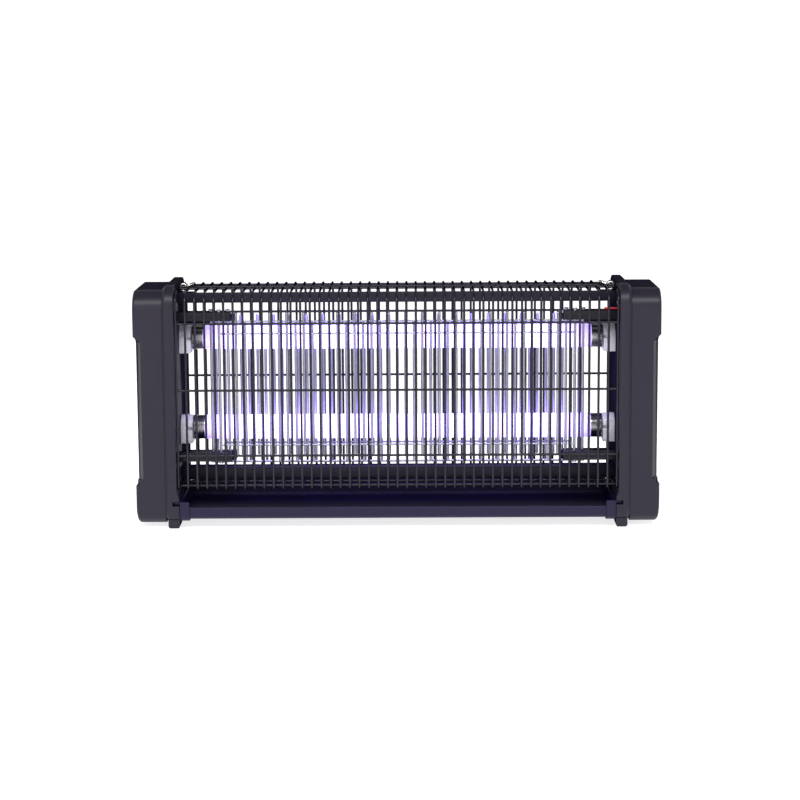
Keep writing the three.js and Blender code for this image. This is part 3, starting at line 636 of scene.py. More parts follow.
def rounded_outline(
    half: float, low: float, high: float, low_radius: float, high_radius: float, steps: int = 14
) -> list[tuple[float, float]]:
    """A rounded rectangle in (Y, Z), centred on Y = 0.

    Args:
        half: half its depth.
        low: its underside.
        high: its top.
        low_radius: radius of the two lower corners.
        high_radius: radius of the two upper corners.
        steps: spans in each corner.

    Returns:
        Its points, anticlockwise seen from +X.
    """
    return (
        arc((half - low_radius, low + low_radius), low_radius, -90, 0, steps)
        + arc((half - high_radius, high - high_radius), high_radius, 0, 90, steps)
        + arc((-half + high_radius, high - high_radius), high_radius, 90, 180, steps)
        + arc((-half + low_radius, low + low_radius), low_radius, 180, 270, steps)
    )


def slab(low: Point, high: Point) -> bmesh.types.BMesh:
    """A box used for cutting and joining.

    Args:
        low: one corner, in millimetres.
        high: the opposite corner.

    Returns:
        The closed box.
    """
    xs, ys, zs = ((min(a, b), max(a, b)) for a, b in zip(low, high))
    corners = [(ys[0], zs[0]), (ys[1], zs[0]), (ys[1], zs[1]), (ys[0], zs[1])]
    return loft([[(x, y, z) for y, z in corners] for x in xs])


def joined(name: str, meshes: Iterable[bpy.types.Mesh]) -> bpy.types.Mesh:
    """Puts several meshes into one.

    Args:
        name: the new mesh's name.
        meshes: the meshes, which are removed afterwards.

    Returns:
        The one mesh.
    """
    work = bmesh.new()
    whole = bpy.data.meshes.new(name)
    for mesh in meshes:
        first = len(work.faces)
        work.from_mesh(mesh)
        work.faces.ensure_lookup_table()
        surfaces = [surface for surface in mesh.materials if surface]
        for surface in surfaces:
            if surface.name not in whole.materials:
                whole.materials.append(surface)
        for face in work.faces[first:]:
            if surfaces:
                index = min(face.material_index, len(surfaces) - 1)
                face.material_index = whole.materials.find(surfaces[index].name)
        bpy.data.meshes.remove(mesh)
    work.to_mesh(whole)
    work.free()
    return whole


def link(name: str, mesh: bpy.types.Mesh) -> bpy.types.Object:
    """Puts a mesh in the scene as an object at the origin.

    Args:
        name: the object's name.
        mesh: its mesh.

    Returns:
        The object.
    """
    thing = bpy.data.objects.new(name, mesh)
    bpy.context.scene.collection.objects.link(thing)
    return thing


def applied(thing: bpy.types.Object) -> bpy.types.Object:
    """Turns an object's modifiers into plain mesh and removes them.

    Args:
        thing: an object with modifiers.

    Returns:
        The same object.
    """
    graph = bpy.context.evaluated_depsgraph_get()
    mesh = bpy.data.meshes.new_from_object(thing.evaluated_get(graph))
    thing.modifiers.clear()
    spent = thing.data
    thing.data = mesh
    mesh.name = thing.name
    bpy.data.meshes.remove(spent)
    return thing


def grown(
    thing: bpy.types.Object, tree: bpy.types.NodeTree, inputs: dict[str, object]
) -> bpy.types.Object:
    """Runs a geometry tree on an object and keeps the result as plain mesh.

    Args:
        thing: the object whose mesh the tree starts from.
        tree: the tree.
        inputs: values for the tree's inputs, by name.

    Returns:
        The same object.
    """
    change = thing.modifiers.new(tree.name, "NODES")
    change.node_group = tree
    for socket in tree.interface.items_tree:
        if socket.name in inputs:
            change[socket.identifier] = inputs[socket.name]
    return applied(thing)


def middle_mm(node: str) -> tuple[float, ...]:
    """The middle of a node's box, in millimetres."""
    return tuple((low + high) / 2 / MM for low, high in zip(*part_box(node)))


def carve(
    thing: bpy.types.Object,
    tools: Iterable[bmesh.types.BMesh],
    operation: str = "DIFFERENCE",
) -> bpy.types.Object:
    """Cuts tools out of an object, or joins them to it.

    Args:
        thing: the object to change.
        tools: closed bodies, which are used up.
        operation: DIFFERENCE or UNION.

    Returns:
        The same object as plain mesh.
    """
    for tool in tools:
        cutter = link("cutter", to_mesh("cutter", tool))
        change = thing.modifiers.new("carve", "BOOLEAN")
        change.operation = operation
        change.solver = "EXACT"
        change.object = cutter
        applied(thing)
        spent = cutter.data
        bpy.data.objects.remove(cutter)
        bpy.data.meshes.remove(spent)
    return thing


def settle(
    thing: bpy.types.Object,
    body: str,
    nodes: Sequence[str],
    finish: Finish | None = None,
) -> bpy.types.Object:
    """Gives a finished piece its material, its body and the nodes it stands for.

    Args:
        thing: the piece, as plain mesh at the origin.
        body: the moving body that carries it.
        nodes: the model's nodes that it replaces.
        finish: its surface, where the mesh doesn't hold its materials yet.

    Returns:
        The piece.
    """
    if finish:
        thing.data.materials.clear()
        thing.data.materials.append(finish.build())
    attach(thing, body)
    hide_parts(*nodes)
    log.info("%s: %d faces on %s", thing.name, len(thing.data.polygons), body)
    return thing


def refined(
    node: str, body: str, finish: Finish, edge_mm: float, spans: int = 2
) -> bpy.types.Object:
    """Makes a node's mesh again with eased edges, as the moulded or pressed piece has.

    Args:
        node: the model's node.
        body: the body that carries it.
        finish: its surface.
        edge_mm: how far each edge is eased.
        spans: spans across an eased edge.

    Returns:
        The piece that replaces the node.
    """
    work = bmesh.new()
    work.from_mesh(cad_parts[node].data)
    bmesh.ops.remove_doubles(work, verts=work.verts, dist=MERGE_M)
    bmesh.ops.dissolve_limit(
        work, angle_limit=math.radians(1), verts=work.verts, edges=work.edges
    )
    mesh = bpy.data.meshes.new(node)
    work.to_mesh(mesh)
    work.free()
    thing = link(f"{node}_finished", mesh)
    ease = thing.modifiers.new("ease", "BEVEL")
    ease.width = edge_mm * MM
    ease.segments = spans
    ease.limit_method = "ANGLE"
    ease.angle_limit = math.radians(EASED_FROM_DEG)
    applied(thing)
    soften(thing.data)
    return settle(thing, body, [node], finish)


# ------------------------------------------------------------------ wire by geometry nodes


@dataclass(frozen=True)
class WireRow:
    """A row of equal wires or rods, each following one bent path."""

    path: Sequence[Point]
    radius_mm: float
    count: int = 1
    pitch_mm: float = 0.0
    bend_mm: float = 0.0
    sides: int = 12
    loop: bool = False

    @staticmethod
    def tree() -> bpy.types.NodeTree:
        """Makes the node tree that sweeps a path and repeats it along X, or returns the made one."""
        known = bpy.data.node_groups.get("wire_row")
        if known:
            return known
        tree = bpy.data.node_groups.new("wire_row", "GeometryNodeTree")
        sockets = {
            "Path": "NodeSocketGeometry",
            "Radius": "NodeSocketFloat",
            "Bend": "NodeSocketFloat",
            "Sides": "NodeSocketInt",
            "Count": "NodeSocketInt",
            "Pitch": "NodeSocketFloat",
            "Surface": "NodeSocketMaterial",
        }
        for name, kind in sockets.items():
            tree.interface.new_socket(name, in_out="INPUT", socket_type=kind)
        tree.interface.new_socket("Wires", in_out="OUTPUT", socket_type="NodeSocketGeometry")
        given = add_node(tree, "NodeGroupInput")
        curve = add_node(
            tree, "GeometryNodeMeshToCurve", links={"Mesh": given.outputs["Path"]}
        )
        bent = add_node(
            tree,
            "GeometryNodeFilletCurve",
            settings={"mode": "POLY"},
            values={"Count": 7, "Limit Radius": True},
            links={"Curve": curve.outputs["Curve"], "Radius": given.outputs["Bend"]},
        )
        section = add_node(
            tree,
            "GeometryNodeCurvePrimitiveCircle",
            links={"Resolution": given.outputs["Sides"], "Radius": given.outputs["Radius"]},
        )
        wire = add_node(
            tree,
            "GeometryNodeCurveToMesh",
            values={"Fill Caps": True},
            links={
                "Curve": bent.outputs["Curve"],
                "Profile Curve": section.outputs["Curve"],
            },
        )
        step = add_node(
            tree, "ShaderNodeCombineXYZ", links={"X": given.outputs["Pitch"]}
        )
        less_one = add_node(
            tree,
            "ShaderNodeMath",
            settings={"operation": "SUBTRACT"},
            values={1: 1.0},
            links={0: given.outputs["Count"]},
        )
        half_back = add_node(
            tree,
            "ShaderNodeMath",
            settings={"operation": "MULTIPLY"},
            values={1: -0.5},
            links={0: less_one.outputs["Value"]},
        )
        start = add_node(
            tree,
            "ShaderNodeVectorMath",
            settings={"operation": "SCALE"},
            links={0: step.outputs["Vector"], "Scale": half_back.outputs["Value"]},
        )
        places = add_node(
            tree,
            "GeometryNodeMeshLine",
            links={
                "Count": given.outputs["Count"],
                "Start Location": start.outputs["Vector"],
                "Offset": step.outputs["Vector"],
            },
        )
        row = add_node(
            tree,
            "GeometryNodeInstanceOnPoints",
            links={"Points": places.outputs["Mesh"], "Instance": wire.outputs["Mesh"]},
        )
        real = add_node(
            tree, "GeometryNodeRealizeInstances", links={"Geometry": row.outputs["Instances"]}
        )
        dressed = add_node(
            tree,
            "GeometryNodeSetMaterial",
            links={"Geometry": real.outputs["Geometry"], "Material": given.outputs["Surface"]},
        )
        add_node(tree, "NodeGroupOutput", links={"Wires": dressed.outputs["Geometry"]})
        return tree

    def mesh(self, name: str, finish: Finish) -> bpy.types.Mesh:
        """Runs the tree on this row's path.

        Args:
            name: the mesh's name.
            finish: the surface that the tree sets.

        Returns:
            The row as plain mesh.
        """
        path = bpy.data.meshes.new("path")
        spans = [(i, i + 1) for i in range(len(self.path) - 1)]
        if self.loop:
            spans.append((len(self.path) - 1, 0))
        path.from_pydata([Vector(point) * MM for point in self.path], spans, [])
        thing = link(name, path)
        inputs = {
            "Radius": self.radius_mm * MM,
            "Bend": self.bend_mm * MM,
            "Sides": self.sides,
            "Count": self.count,
            "Pitch": self.pitch_mm * MM,
            "Surface": finish.build(),
        }
        mesh = grown(thing, self.tree(), inputs).data
        bpy.data.objects.remove(thing)
        return soften(mesh, 50)


def wires(name: str, rows: Iterable[WireRow], finish: Finish) -> bpy.types.Object:
    """Makes one welded piece out of several rows of wire.

    Args:
        name: the piece's name.
        rows: its rows.
        finish: the surface of all of them.

    Returns:
        The piece, not yet settled.
    """
    made = [row.mesh(f"{name}_{i}", finish) for i, row in enumerate(rows)]
    return link(name, joined(name, made))


# ------------------------------------------------------------------ end housings


@dataclass
class EndHousing:
    """One end: the hollow cover over the electrics and the pan-shaped frame it closes."""

    side: Side
    cover_step_mm: float = 3.0
    cover_top_step_mm: float = 5.0
    cover_base_mm: float = 5.0
    cover_gap_mm: float = 0.3
    wall_mm: float = 2.5
    top_radius_mm: float = 20.0
    base_radius_mm: float = 14.0
    shoulder_mm: tuple[float, float] = (3.0, 3.0)
    heel_mm: tuple[float, float] = (5.0, 7.0)
    edge_mm: float = 2.6
    end_wall_mm: float = 9.0
    spans: int = 12
    grip_low_mm: float = 46.0
    grip_high_mm: float = 204.0
    grip_depth_mm: float = 2.2
    grip_side_mm: float = 11.0
    grip_fall_mm: float = 5.8
    grip_ribs: tuple[tuple[float, float], ...] = ((0.0, 0.0), (1.2, 0.45), (5.4, 0.5), (6.6, 1.0))
    grip_roof_mm: float = 6.5
    past_mm: float = 1.0
    frame_chamfer_mm: float = 3.0
    frame_edge_mm: float = 0.8
    frame_edge_share: float = 0.3
    chamfer_flat_mm: float = 0.4
    frame_top_radius_mm: float = 22.0
    frame_base_radius_mm: float = 12.0
    web_mm: float = 3.0
    rim_mm: float = 2.5
    foot_rise_mm: float = 7.0
    foot_mm: tuple[float, float] = (36.0, 60.0)
    foot_inset_mm: float = 2.2
    foot_taper_mm: float = 1.2
    swell_mm: float = 2.2
    swell_full_mm: float = 33.0
    swell_top_mm: float = 39.0
    swell_edge_mm: float = 0.4
    slot_mm: tuple[float, float] = (24.7, 29.3)
    slot_depth_mm: float = 4.8
    slot_end_mm: float = 40.6
    ledge_root_mm: float = 0.3
    ledge_side_mm: float = 0.5

    def __post_init__(self) -> None:
        """Reads the frame's place from the model."""
        low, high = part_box(f"{self.side.word}_end_frame")
        along = sorted((abs(low.x) / MM, abs(high.x) / MM))
        self.swell_x_mm, self.outer_mm = along
        self.inner_mm = self.swell_x_mm + self.swell_mm
        self.half_mm = high.y / MM
        self.top_mm = high.z / MM
        low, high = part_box(f"{self.side.word}_end_cap")
        self.end_mm = max(abs(low.x), abs(high.x)) / MM

    def sided(self, rings: Sequence[Sequence[Point]]) -> bmesh.types.BMesh:
        """Lofts rings drawn for the right end, turned round for the left one."""
        return loft([[(self.side.value * x, y, z) for x, y, z in ring] for ring in rings])

    def cover_ring(self, x_mm: float, inset_mm: float) -> list[Point]:
        """One section across the cover.

        Args:
            x_mm: its distance from the middle of the object.
            inset_mm: how far the wall stands inside the outer surface.

        Returns:
            The section's points.
        """
        away = self.end_mm - inset_mm - x_mm

        def rounding(run: float, rise: float) -> float:
            """How much a quarter ellipse has taken off at this section."""
            left = max(0.0, 1 - away / run)
            return rise * (1 - math.sqrt(max(0.0, 1 - left * left)))

        half = self.half_mm - self.cover_step_mm - inset_mm - rounding(self.edge_mm, self.edge_mm)
        high = self.top_mm - self.cover_top_step_mm - inset_mm - rounding(*self.shoulder_mm)
        low = self.cover_base_mm + inset_mm + rounding(*self.heel_mm)
        outline = rounded_outline(
            half,
            low,
            high,
            self.base_radius_mm - inset_mm,
            self.top_radius_mm - inset_mm,
            self.spans,
        )
        return [(x_mm, y, z) for y, z in outline]

    def cover_body(self, start_mm: float) -> bmesh.types.BMesh:
        """The cover's outer body, with its end rounded over.

        Args:
            start_mm: where it starts along X.

        Returns:
            A closed body.
        """
        run = max(self.heel_mm[0], self.shoulder_mm[0])
        steps = [
            self.end_mm - run * (1 - math.sin(math.radians(90 * i / self.spans)))
            for i in range(self.spans + 1)
        ]
        stations = [start_mm, *steps]
        return self.sided([self.cover_ring(x, 0.0) for x in stations])

    def cover_hollow(self, start_mm: float) -> bmesh.types.BMesh:
        """The room inside the cover, from a start along X to the thick end wall."""
        stations = (start_mm, self.end_mm - self.end_wall_mm)
        return self.sided([self.cover_ring(x, self.wall_mm) for x in stations])

    def grip(self) -> bmesh.types.BMesh:
        """The body that the hand grip takes out of the cover's outer end, with two small ribs.

        Each pair in grip_ribs is a rise from the grip's lower edge and a share of its depth.
        """
        half = self.half_mm - self.cover_step_mm
        floor = self.grip_depth_mm
        past = self.past_mm
        open_end = floor + self.grip_fall_mm * (1 + past / self.grip_side_mm)
        outline = [
            (-past, -half - past),
            (open_end, -half - past),
            (floor, -half + self.grip_side_mm),
            (floor, half - self.grip_side_mm),
            (open_end, half + past),
            (-past, half + past),
        ]
        high = self.grip_high_mm
        sections = [(self.grip_low_mm + rise, share) for rise, share in self.grip_ribs]
        sections += [(high - self.grip_roof_mm, 1.0), (high, 0.0)]
        rings = [
            [(self.end_mm - (cut * share if cut > 0 else cut), y, z) for cut, y in outline]
            for z, share in sections
        ]
        return self.sided(rings)

    def cover(self) -> bpy.types.Object:
        """Builds the cover: outer body, grip and hollow."""
        start = self.outer_mm + self.cover_gap_mm
        name = f"{self.side.word}_cover"
        thing = link(name, to_mesh(name, self.cover_body(start)))
        carve(thing, [self.grip(), self.cover_hollow(start - self.past_mm)])
        soften(thing.data)
        node = f"{self.side.word}_end_cap"
        return settle(thing, "root", [node], CHARCOAL_ABS)

    def frame_ring(self, x_mm: float, inset_mm: float) -> list[Point]:
        """One section across the frame's rounded body."""
        outline = rounded_outline(
            self.half_mm - inset_mm,
            self.foot_rise_mm + inset_mm,
            self.top_mm - inset_mm,
            self.frame_base_radius_mm - inset_mm,
            self.frame_top_radius_mm - inset_mm,
            self.spans,
        )
        return [(x_mm, y, z) for y, z in outline]

    def feet(self) -> list[bmesh.types.BMesh]:
        """The two feet, each tapering to its sole."""
        feet = []
        for face in Face:
            y0, y1 = sorted(face.value * y for y in self.foot_mm)
            taper = self.foot_taper_mm
            x0, x1 = self.swell_x_mm, self.outer_mm - self.foot_inset_mm
            sections = [(0.0, taper), (2 * taper, 0.0), (self.foot_rise_mm + self.rim_mm, 0.0)]
            rings = [
                [
                    (x0 + inset, y0 + inset, z),
                    (x1 - inset, y0 + inset, z),
                    (x1 - inset, y1 - inset, z),
                    (x0 + inset, y1 - inset, z),
                ]
                for z, inset in sections
            ]
            feet.append(self.sided(rings))
        return feet

    def swell_outline(self, height_mm: float) -> list[tuple[float, float]]:
        """The swell's section in (Y, Z): rounded below and flat at a height."""
        radius, half = self.frame_base_radius_mm, self.half_mm
        corner = arc((half - radius, self.foot_rise_mm + radius), radius, -90, 0, self.spans)
        mirrored = [(-y, z) for y, z in reversed(corner)]
        return [*corner, (half, height_mm), (-half, height_mm), *mirrored]

    def swell(self) -> bmesh.types.BMesh:
        """The thicker lower part of the frame, whose top slopes back to the web."""
        upper = self.swell_outline(self.swell_top_mm)
        face = [
            (y - math.copysign(self.swell_edge_mm, y), z)
            for y, z in self.swell_outline(self.swell_full_mm)
        ]
        middle = self.inner_mm + self.web_mm / 2
        sections = [(self.swell_x_mm, face), (self.inner_mm, upper), (middle, upper)]
        return self.sided([[(x, y, z) for y, z in outline] for x, outline in sections])

    def pan(self) -> bpy.types.Object:
        """Builds the frame: body, feet, the pan's hollow and the tray's slot."""
        edge, wall = self.frame_edge_mm, self.rim_mm
        eased = edge * self.frame_edge_share
        stations = [
            (self.inner_mm, edge),
            (self.inner_mm + eased, eased),
            (self.inner_mm + edge, 0.0),
            (self.outer_mm - self.frame_chamfer_mm, 0.0),
            (self.outer_mm, self.frame_chamfer_mm - self.chamfer_flat_mm),
        ]
        name = f"{self.side.word}_frame"
        body = self.sided([self.frame_ring(x, inset) for x, inset in stations])
        thing = link(name, to_mesh(name, body))
        carve(thing, [self.swell(), *self.feet()], "UNION")
        web = self.inner_mm + self.web_mm
        hollow = self.sided([
            self.frame_ring(x, wall + self.frame_chamfer_mm)
            for x in (web, self.outer_mm + self.past_mm)
        ])
        sign, half = self.side.value, self.half_mm
        low, high = self.slot_mm
        slot_x = (self.swell_x_mm - self.past_mm, self.inner_mm + self.slot_depth_mm)
        slot = slab(
            (sign * slot_x[0], -half - self.past_mm, low),
            (sign * slot_x[1], self.slot_end_mm, high),
        )
        ledge = slab(
            (sign * (web - self.ledge_root_mm), -half + wall - self.ledge_side_mm, low - wall),
            (sign * (slot_x[1] + wall), self.slot_end_mm + wall, high + wall),
        )
        carve(thing, [hollow])
        carve(thing, [ledge], "UNION")
        carve(thing, [slot])
        soften(thing.data)
        node = f"{self.side.word}_end_frame"
        return settle(thing, "root", [node], CHARCOAL_ABS)

    def build(self) -> None:
        """Builds both pieces of this end."""
        self.cover()
        self.pan()


# ------------------------------------------------------------------ guards and grids


@dataclass
class Guard:
    """The welded wire guard on one face: bent upright wires over cross wires."""

    face: Face
    wire_mm: float = 1.25
    model_wire_mm: float = 1.1
    weld_mm: float = 0.3
    top_bend_mm: float = 13.0
    foot_bend_mm: float = 5.0
    count: int = 47
    pitch_mm: float = 10.0
    end_mm: float = 12.5
    side_reach_mm: float = 231.2
    end_reach_mm: float = 233.2
    face_rise_mm: tuple[float, ...] = (36.9, 106.1, 176.0)
    top_wires_mm: tuple[float, ...] = ()
    base_wires_mm: tuple[float, ...] = (47.0,)

    def __post_init__(self) -> None:
        """Reads the guard's plane and heights from the model."""
        low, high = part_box(f"{self.face.word}_guard")
        self.plane_mm = max(abs(low.y), abs(high.y)) / MM - self.model_wire_mm
        self.low_mm = low.z / MM + self.model_wire_mm
        self.high_mm = high.z / MM - self.model_wire_mm
        self.end_mm = min(abs(low.y), abs(high.y)) / MM + self.model_wire_mm

    def across(self, y_mm: float, z_mm: float, reach_mm: float) -> WireRow:
        """One straight wire along X at a place."""
        y = self.face.value * y_mm
        return WireRow([(-reach_mm, y, z_mm), (reach_mm, y, z_mm)], self.wire_mm, sides=12)

    def rows(self) -> list[WireRow]:
        """All the wires of the guard."""
        tip = self.end_mm
        bend = self.top_bend_mm
        top_bend = arc((self.plane_mm - bend, self.high_mm - bend), bend, 90, 0, 9)
        line = [(tip, self.high_mm), *top_bend, (self.plane_mm, self.low_mm), (tip, self.low_mm)]
        bent = [(0.0, self.face.value * y, z) for y, z in line]
        uprights = WireRow(
            bent, self.wire_mm, self.count, self.pitch_mm, self.foot_bend_mm, sides=12
        )
        inward = 2 * self.wire_mm - self.weld_mm
        foot = self.low_mm - self.model_wire_mm
        on_face = [
            self.across(self.plane_mm - inward, foot + rise, self.side_reach_mm)
            for rise in self.face_rise_mm
        ]
        on_top = [
            self.across(y, self.high_mm - inward, self.side_reach_mm) for y in self.top_wires_mm
        ]
        on_base = [
            self.across(y, self.low_mm + inward, self.side_reach_mm) for y in self.base_wires_mm
        ]
        ends = [
            self.across(self.end_mm, self.high_mm, self.end_reach_mm),
            self.across(self.end_mm, self.low_mm, self.end_reach_mm),
        ]
        return [uprights, *on_face, *on_top, *on_base, *ends]

    def build(self) -> None:
        """Builds the guard as one welded piece."""
        thing = wires(f"{self.face.word}_wire_guard", self.rows(), BLACK_POWDER_COAT)
        nodes = [f"{self.face.word}_guard", f"{self.face.word}_guard_cross_frame"]
        settle(thing, "root", nodes)


@dataclass
class KillingGrid:
    """One comb of steel rods, with cross rods on one side and beads on the rods that carry it."""

    face: Face
    live: bool
    rod_mm: float = 1.5
    cross_mm: float = 1.0
    pitch_mm: float = 8.9
    rods: int = 45
    held: int = 3
    hook_mm: float = 2.4
    hook_bend_mm: float = 1.6
    gap_mm: float = 0.3
    weld_mm: float = 0.4
    past_arm_mm: float = 2.0
    bead_mm: float = 2.3
    bead_rise_mm: float = 1.2
    arm_half_mm: float = 4.5
    cross_places_mm: tuple[float, float] = (18.2, 12.8)

    def __post_init__(self) -> None:
        """Reads the comb's plane and ends from the model."""
        kind = "live" if self.live else "return"
        self.node = f"{self.face.word}_{kind}_grid"
        low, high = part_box(self.node)
        near, far = sorted((abs(low.y) / MM, abs(high.y) / MM))
        self.y_mm = near + self.bead_mm if self.live else far - self.bead_mm
        self.upper_arm_mm = middle_mm(f"{self.face.word}_left_upper_arm")[2]
        self.lower_arm_mm = middle_mm(f"{self.face.word}_left_lower_arm")[2]

    def along(self, places: Sequence[int], low_mm: float, high_mm: float, hook: bool) -> WireRow:
        """A row of rods standing at evenly spaced places.

        Args:
            places: rod numbers counted from the middle, symmetric about it.
            low_mm: their lower ends.
            high_mm: their upper ends.
            hook: whether their tops are bent over.

        Returns:
            The row.
        """
        y = self.face.value * self.y_mm
        path = [(0.0, y, low_mm), (0.0, y, high_mm)]
        if hook:
            lean = -self.face.value if self.live else self.face.value
            path.append((0.0, y + lean * self.hook_mm, high_mm))
        pitch = (places[1] - places[0]) * self.pitch_mm
        return WireRow(path, self.rod_mm, len(places), pitch, self.hook_bend_mm, sides=10)

    def rows(self) -> list[WireRow]:
        """All the rods, cross rods and beads of the comb."""
        last = self.rods // 2
        parity = 1 if self.live else 0
        numbers = [n for n in range(-last, last + 1) if n % 2 == parity]
        free = [n for n in numbers if abs(n) <= last - self.held]
        carriers = sorted({abs(n) for n in numbers if abs(n) > last - self.held})
        half = self.arm_half_mm
        if self.live:
            top, base = self.upper_arm_mm + half - self.rod_mm, self.lower_arm_mm
            crosses = [
                self.upper_arm_mm - self.cross_places_mm[0],
                self.lower_arm_mm + self.cross_places_mm[1],
            ]
        else:
            top = self.upper_arm_mm - half - self.past_arm_mm
            base = self.lower_arm_mm - half - self.past_arm_mm
            crosses = [top, base]
        held_reach = half + self.gap_mm + self.bead_rise_mm
        rows = [self.along(free, base, top, hook=self.live)]
        outward = self.face.value if self.live else -self.face.value
        away = self.rod_mm + self.cross_mm - self.weld_mm
        cross_y = self.face.value * self.y_mm + outward * away
        reach = max(carriers) * self.pitch_mm
        for z in crosses:
            rows.append(WireRow([(-reach, cross_y, z), (reach, cross_y, z)], self.cross_mm, sides=10))
        for number in carriers:
            pair = (-number, number)
            low, high = self.lower_arm_mm - held_reach, self.upper_arm_mm + held_reach
            rows.append(self.along(pair, low, high, hook=False))
            for z in (low, high):
                rows.append(self.bead(pair, z))
        return rows

    def bead(self, pair: tuple[int, int], z_mm: float) -> WireRow:
        """The domed nuts on the ends of a pair of carrying rods.

        Args:
            pair: the two rods' numbers.
            z_mm: the height of the nuts' middles.

        Returns:
            The row of two.
        """
        y = self.face.value * self.y_mm
        rise = self.bead_rise_mm
        path = [(0.0, y, z_mm - rise), (0.0, y, z_mm + rise)]
        pitch = (pair[1] - pair[0]) * self.pitch_mm
        return WireRow(path, self.bead_mm, 2, pitch, sides=6)

    def build(self) -> None:
        """Builds the comb as one welded piece."""
        thing = wires(f"{self.node}_rods", self.rows(), DRAWN_STAINLESS)
        settle(thing, "root", [self.node])


@dataclass
class GridArms:
    """The eight dark arms that hold the combs, with a clamp screw on each."""

    edge_mm: float = 0.8

    def build(self) -> None:
        """Builds every arm from its node."""
        for face in Face:
            for side in Side:
                for level in Level:
                    node = f"{face.word}_{side.word}_{level.word}_arm"
                    refined(node, "root", BLACK_NYLON, self.edge_mm)


# ------------------------------------------------------------------ lamps


@dataclass
class Lamp:
    """A burning tube with its two metal caps, turning rotors and fixed holders."""

    level: Level
    glass_radius_mm: float = 12.9
    glass_wall_mm: float = 0.9
    neck_radius_mm: float = 12.1
    cap_radius_mm: float = 13.0
    cap_wall_mm: float = 0.6
    cap_edge_mm: float = 1.2
    pin_radius_mm: float = 1.2
    pin_length_mm: float = 7.0
    pin_spacing_mm: float = 12.7
    pin_root_mm: float = 1.0
    pin_tip: tuple[tuple[float, float], ...] = ((0.8, 1.0), (0.2, 0.7), (0.0, 0.3))
    neck_gap_mm: float = 0.3
    shoulder_mm: tuple[tuple[float, float], ...] = ((1.2, 0.0), (0.5, 0.2))
    rim_mm: tuple[float, float, float] = (0.8, 1.2, 0.15)
    disc_mm: float = 1.5
    disc_hole_mm: float = 0.4
    disc_gap_mm: float = 0.2
    turns: int = 64
    pin_turns: int = 20

    def __post_init__(self) -> None:
        """Reads the lamp's axis and length from the model."""
        tube = f"{self.level.word}_lamp_tube"
        self.z_mm = middle_mm(tube)[2]
        self.neck_end_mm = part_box(tube)[1].x / MM
        low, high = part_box(f"{self.level.word}_right_lamp_cap")
        self.cap_start_mm = low.x / MM
        self.face_mm = high.x / MM - self.pin_length_mm
        self.body = f"{self.level.word}_lamp"

    def tube(self) -> None:
        """Builds the glass: a long wall section that steps down into each cap."""
        shoulder = self.cap_start_mm - self.neck_gap_mm
        half = [
            (0.0, self.glass_radius_mm),
            *((shoulder - back, self.glass_radius_mm - drop) for back, drop in self.shoulder_mm),
            (shoulder, self.neck_radius_mm),
            (self.neck_end_mm, self.neck_radius_mm),
        ]
        outer = [(-x, radius) for x, radius in reversed(half)] + half[1:]
        inner_radius = self.neck_radius_mm - self.glass_wall_mm
        inner = [(self.neck_end_mm, inner_radius), (-self.neck_end_mm, inner_radius)]
        name = f"{self.level.word}_lit_tube"
        wall = lathe_x(outer + inner, 0.0, self.z_mm, self.turns, hollow=True)
        thing = link(name, soften(to_mesh(name, wall)))
        settle(thing, self.body, [f"{self.level.word}_lamp_tube"], GLOWING_TUBE)

    def cap(self, side: Side) -> None:
        """Builds a metal cap with its rolled rim, insulating disc and two pins.

        Args:
            side: the end it closes.
        """
        start, face = self.cap_start_mm, self.face_mm
        outer, wall, edge = self.cap_radius_mm, self.cap_wall_mm, self.cap_edge_mm
        corner = [
            (
                face - edge + edge * math.sin(math.radians(turn)),
                outer - edge * (1 - math.cos(math.radians(turn))),
            )
            for turn in (0, 30, 60, 90)
        ]
        flat, run, drop = self.rim_mm
        bead = [
            (start, outer - wall), (start, outer), (start + flat, outer), (start + run, outer - drop)
        ]
        inner = face - self.disc_mm
        disc = [
            (face, self.disc_hole_mm),
            (inner, self.disc_hole_mm),
            (inner, outer - wall - self.disc_gap_mm),
        ]
        profile = [(side.value * x, radius) for x, radius in bead + corner + disc]
        shell = lathe_x(profile, 0.0, self.z_mm, self.turns, hollow=True)
        name = f"{self.level.word}_{side.word}_metal_cap"
        pins = []
        for turn in (-1, 1):
            tip = face + self.pin_length_mm
            z = self.z_mm + turn * self.pin_spacing_mm / 2
            profile = [(face - self.pin_root_mm, self.pin_radius_mm)]
            profile += [(tip - back, self.pin_radius_mm * share) for back, share in self.pin_tip]
            pin = lathe_x([(side.value * x, r) for x, r in profile], 0.0, z, self.pin_turns)
            pins.append(soften(to_mesh("pin", pin)))
            pins[-1].materials.append(PIN_BRASS.build())
        cup = soften(to_mesh("cup", shell))
        cup.materials.append(PRESSED_ALUMINIUM.build())
        thing = link(name, joined(name, [cup, *pins]))
        settle(thing, self.body, [f"{self.level.word}_{side.word}_lamp_cap"])

    def build(self) -> None:
        """Builds the tube, both caps, and the rotors and holders at its ends."""
        self.tube()
        for side in Side:
            self.cap(side)
            stem = f"{self.level.word}_{side.word}"
            refined(f"{stem}_rotor", self.body, WHITE_POLYCARBONATE, 0.3)
            refined(f"{stem}_holder", "root", WHITE_POLYCARBONATE, 0.5)


# ------------------------------------------------------------------ tray, rails, hardware


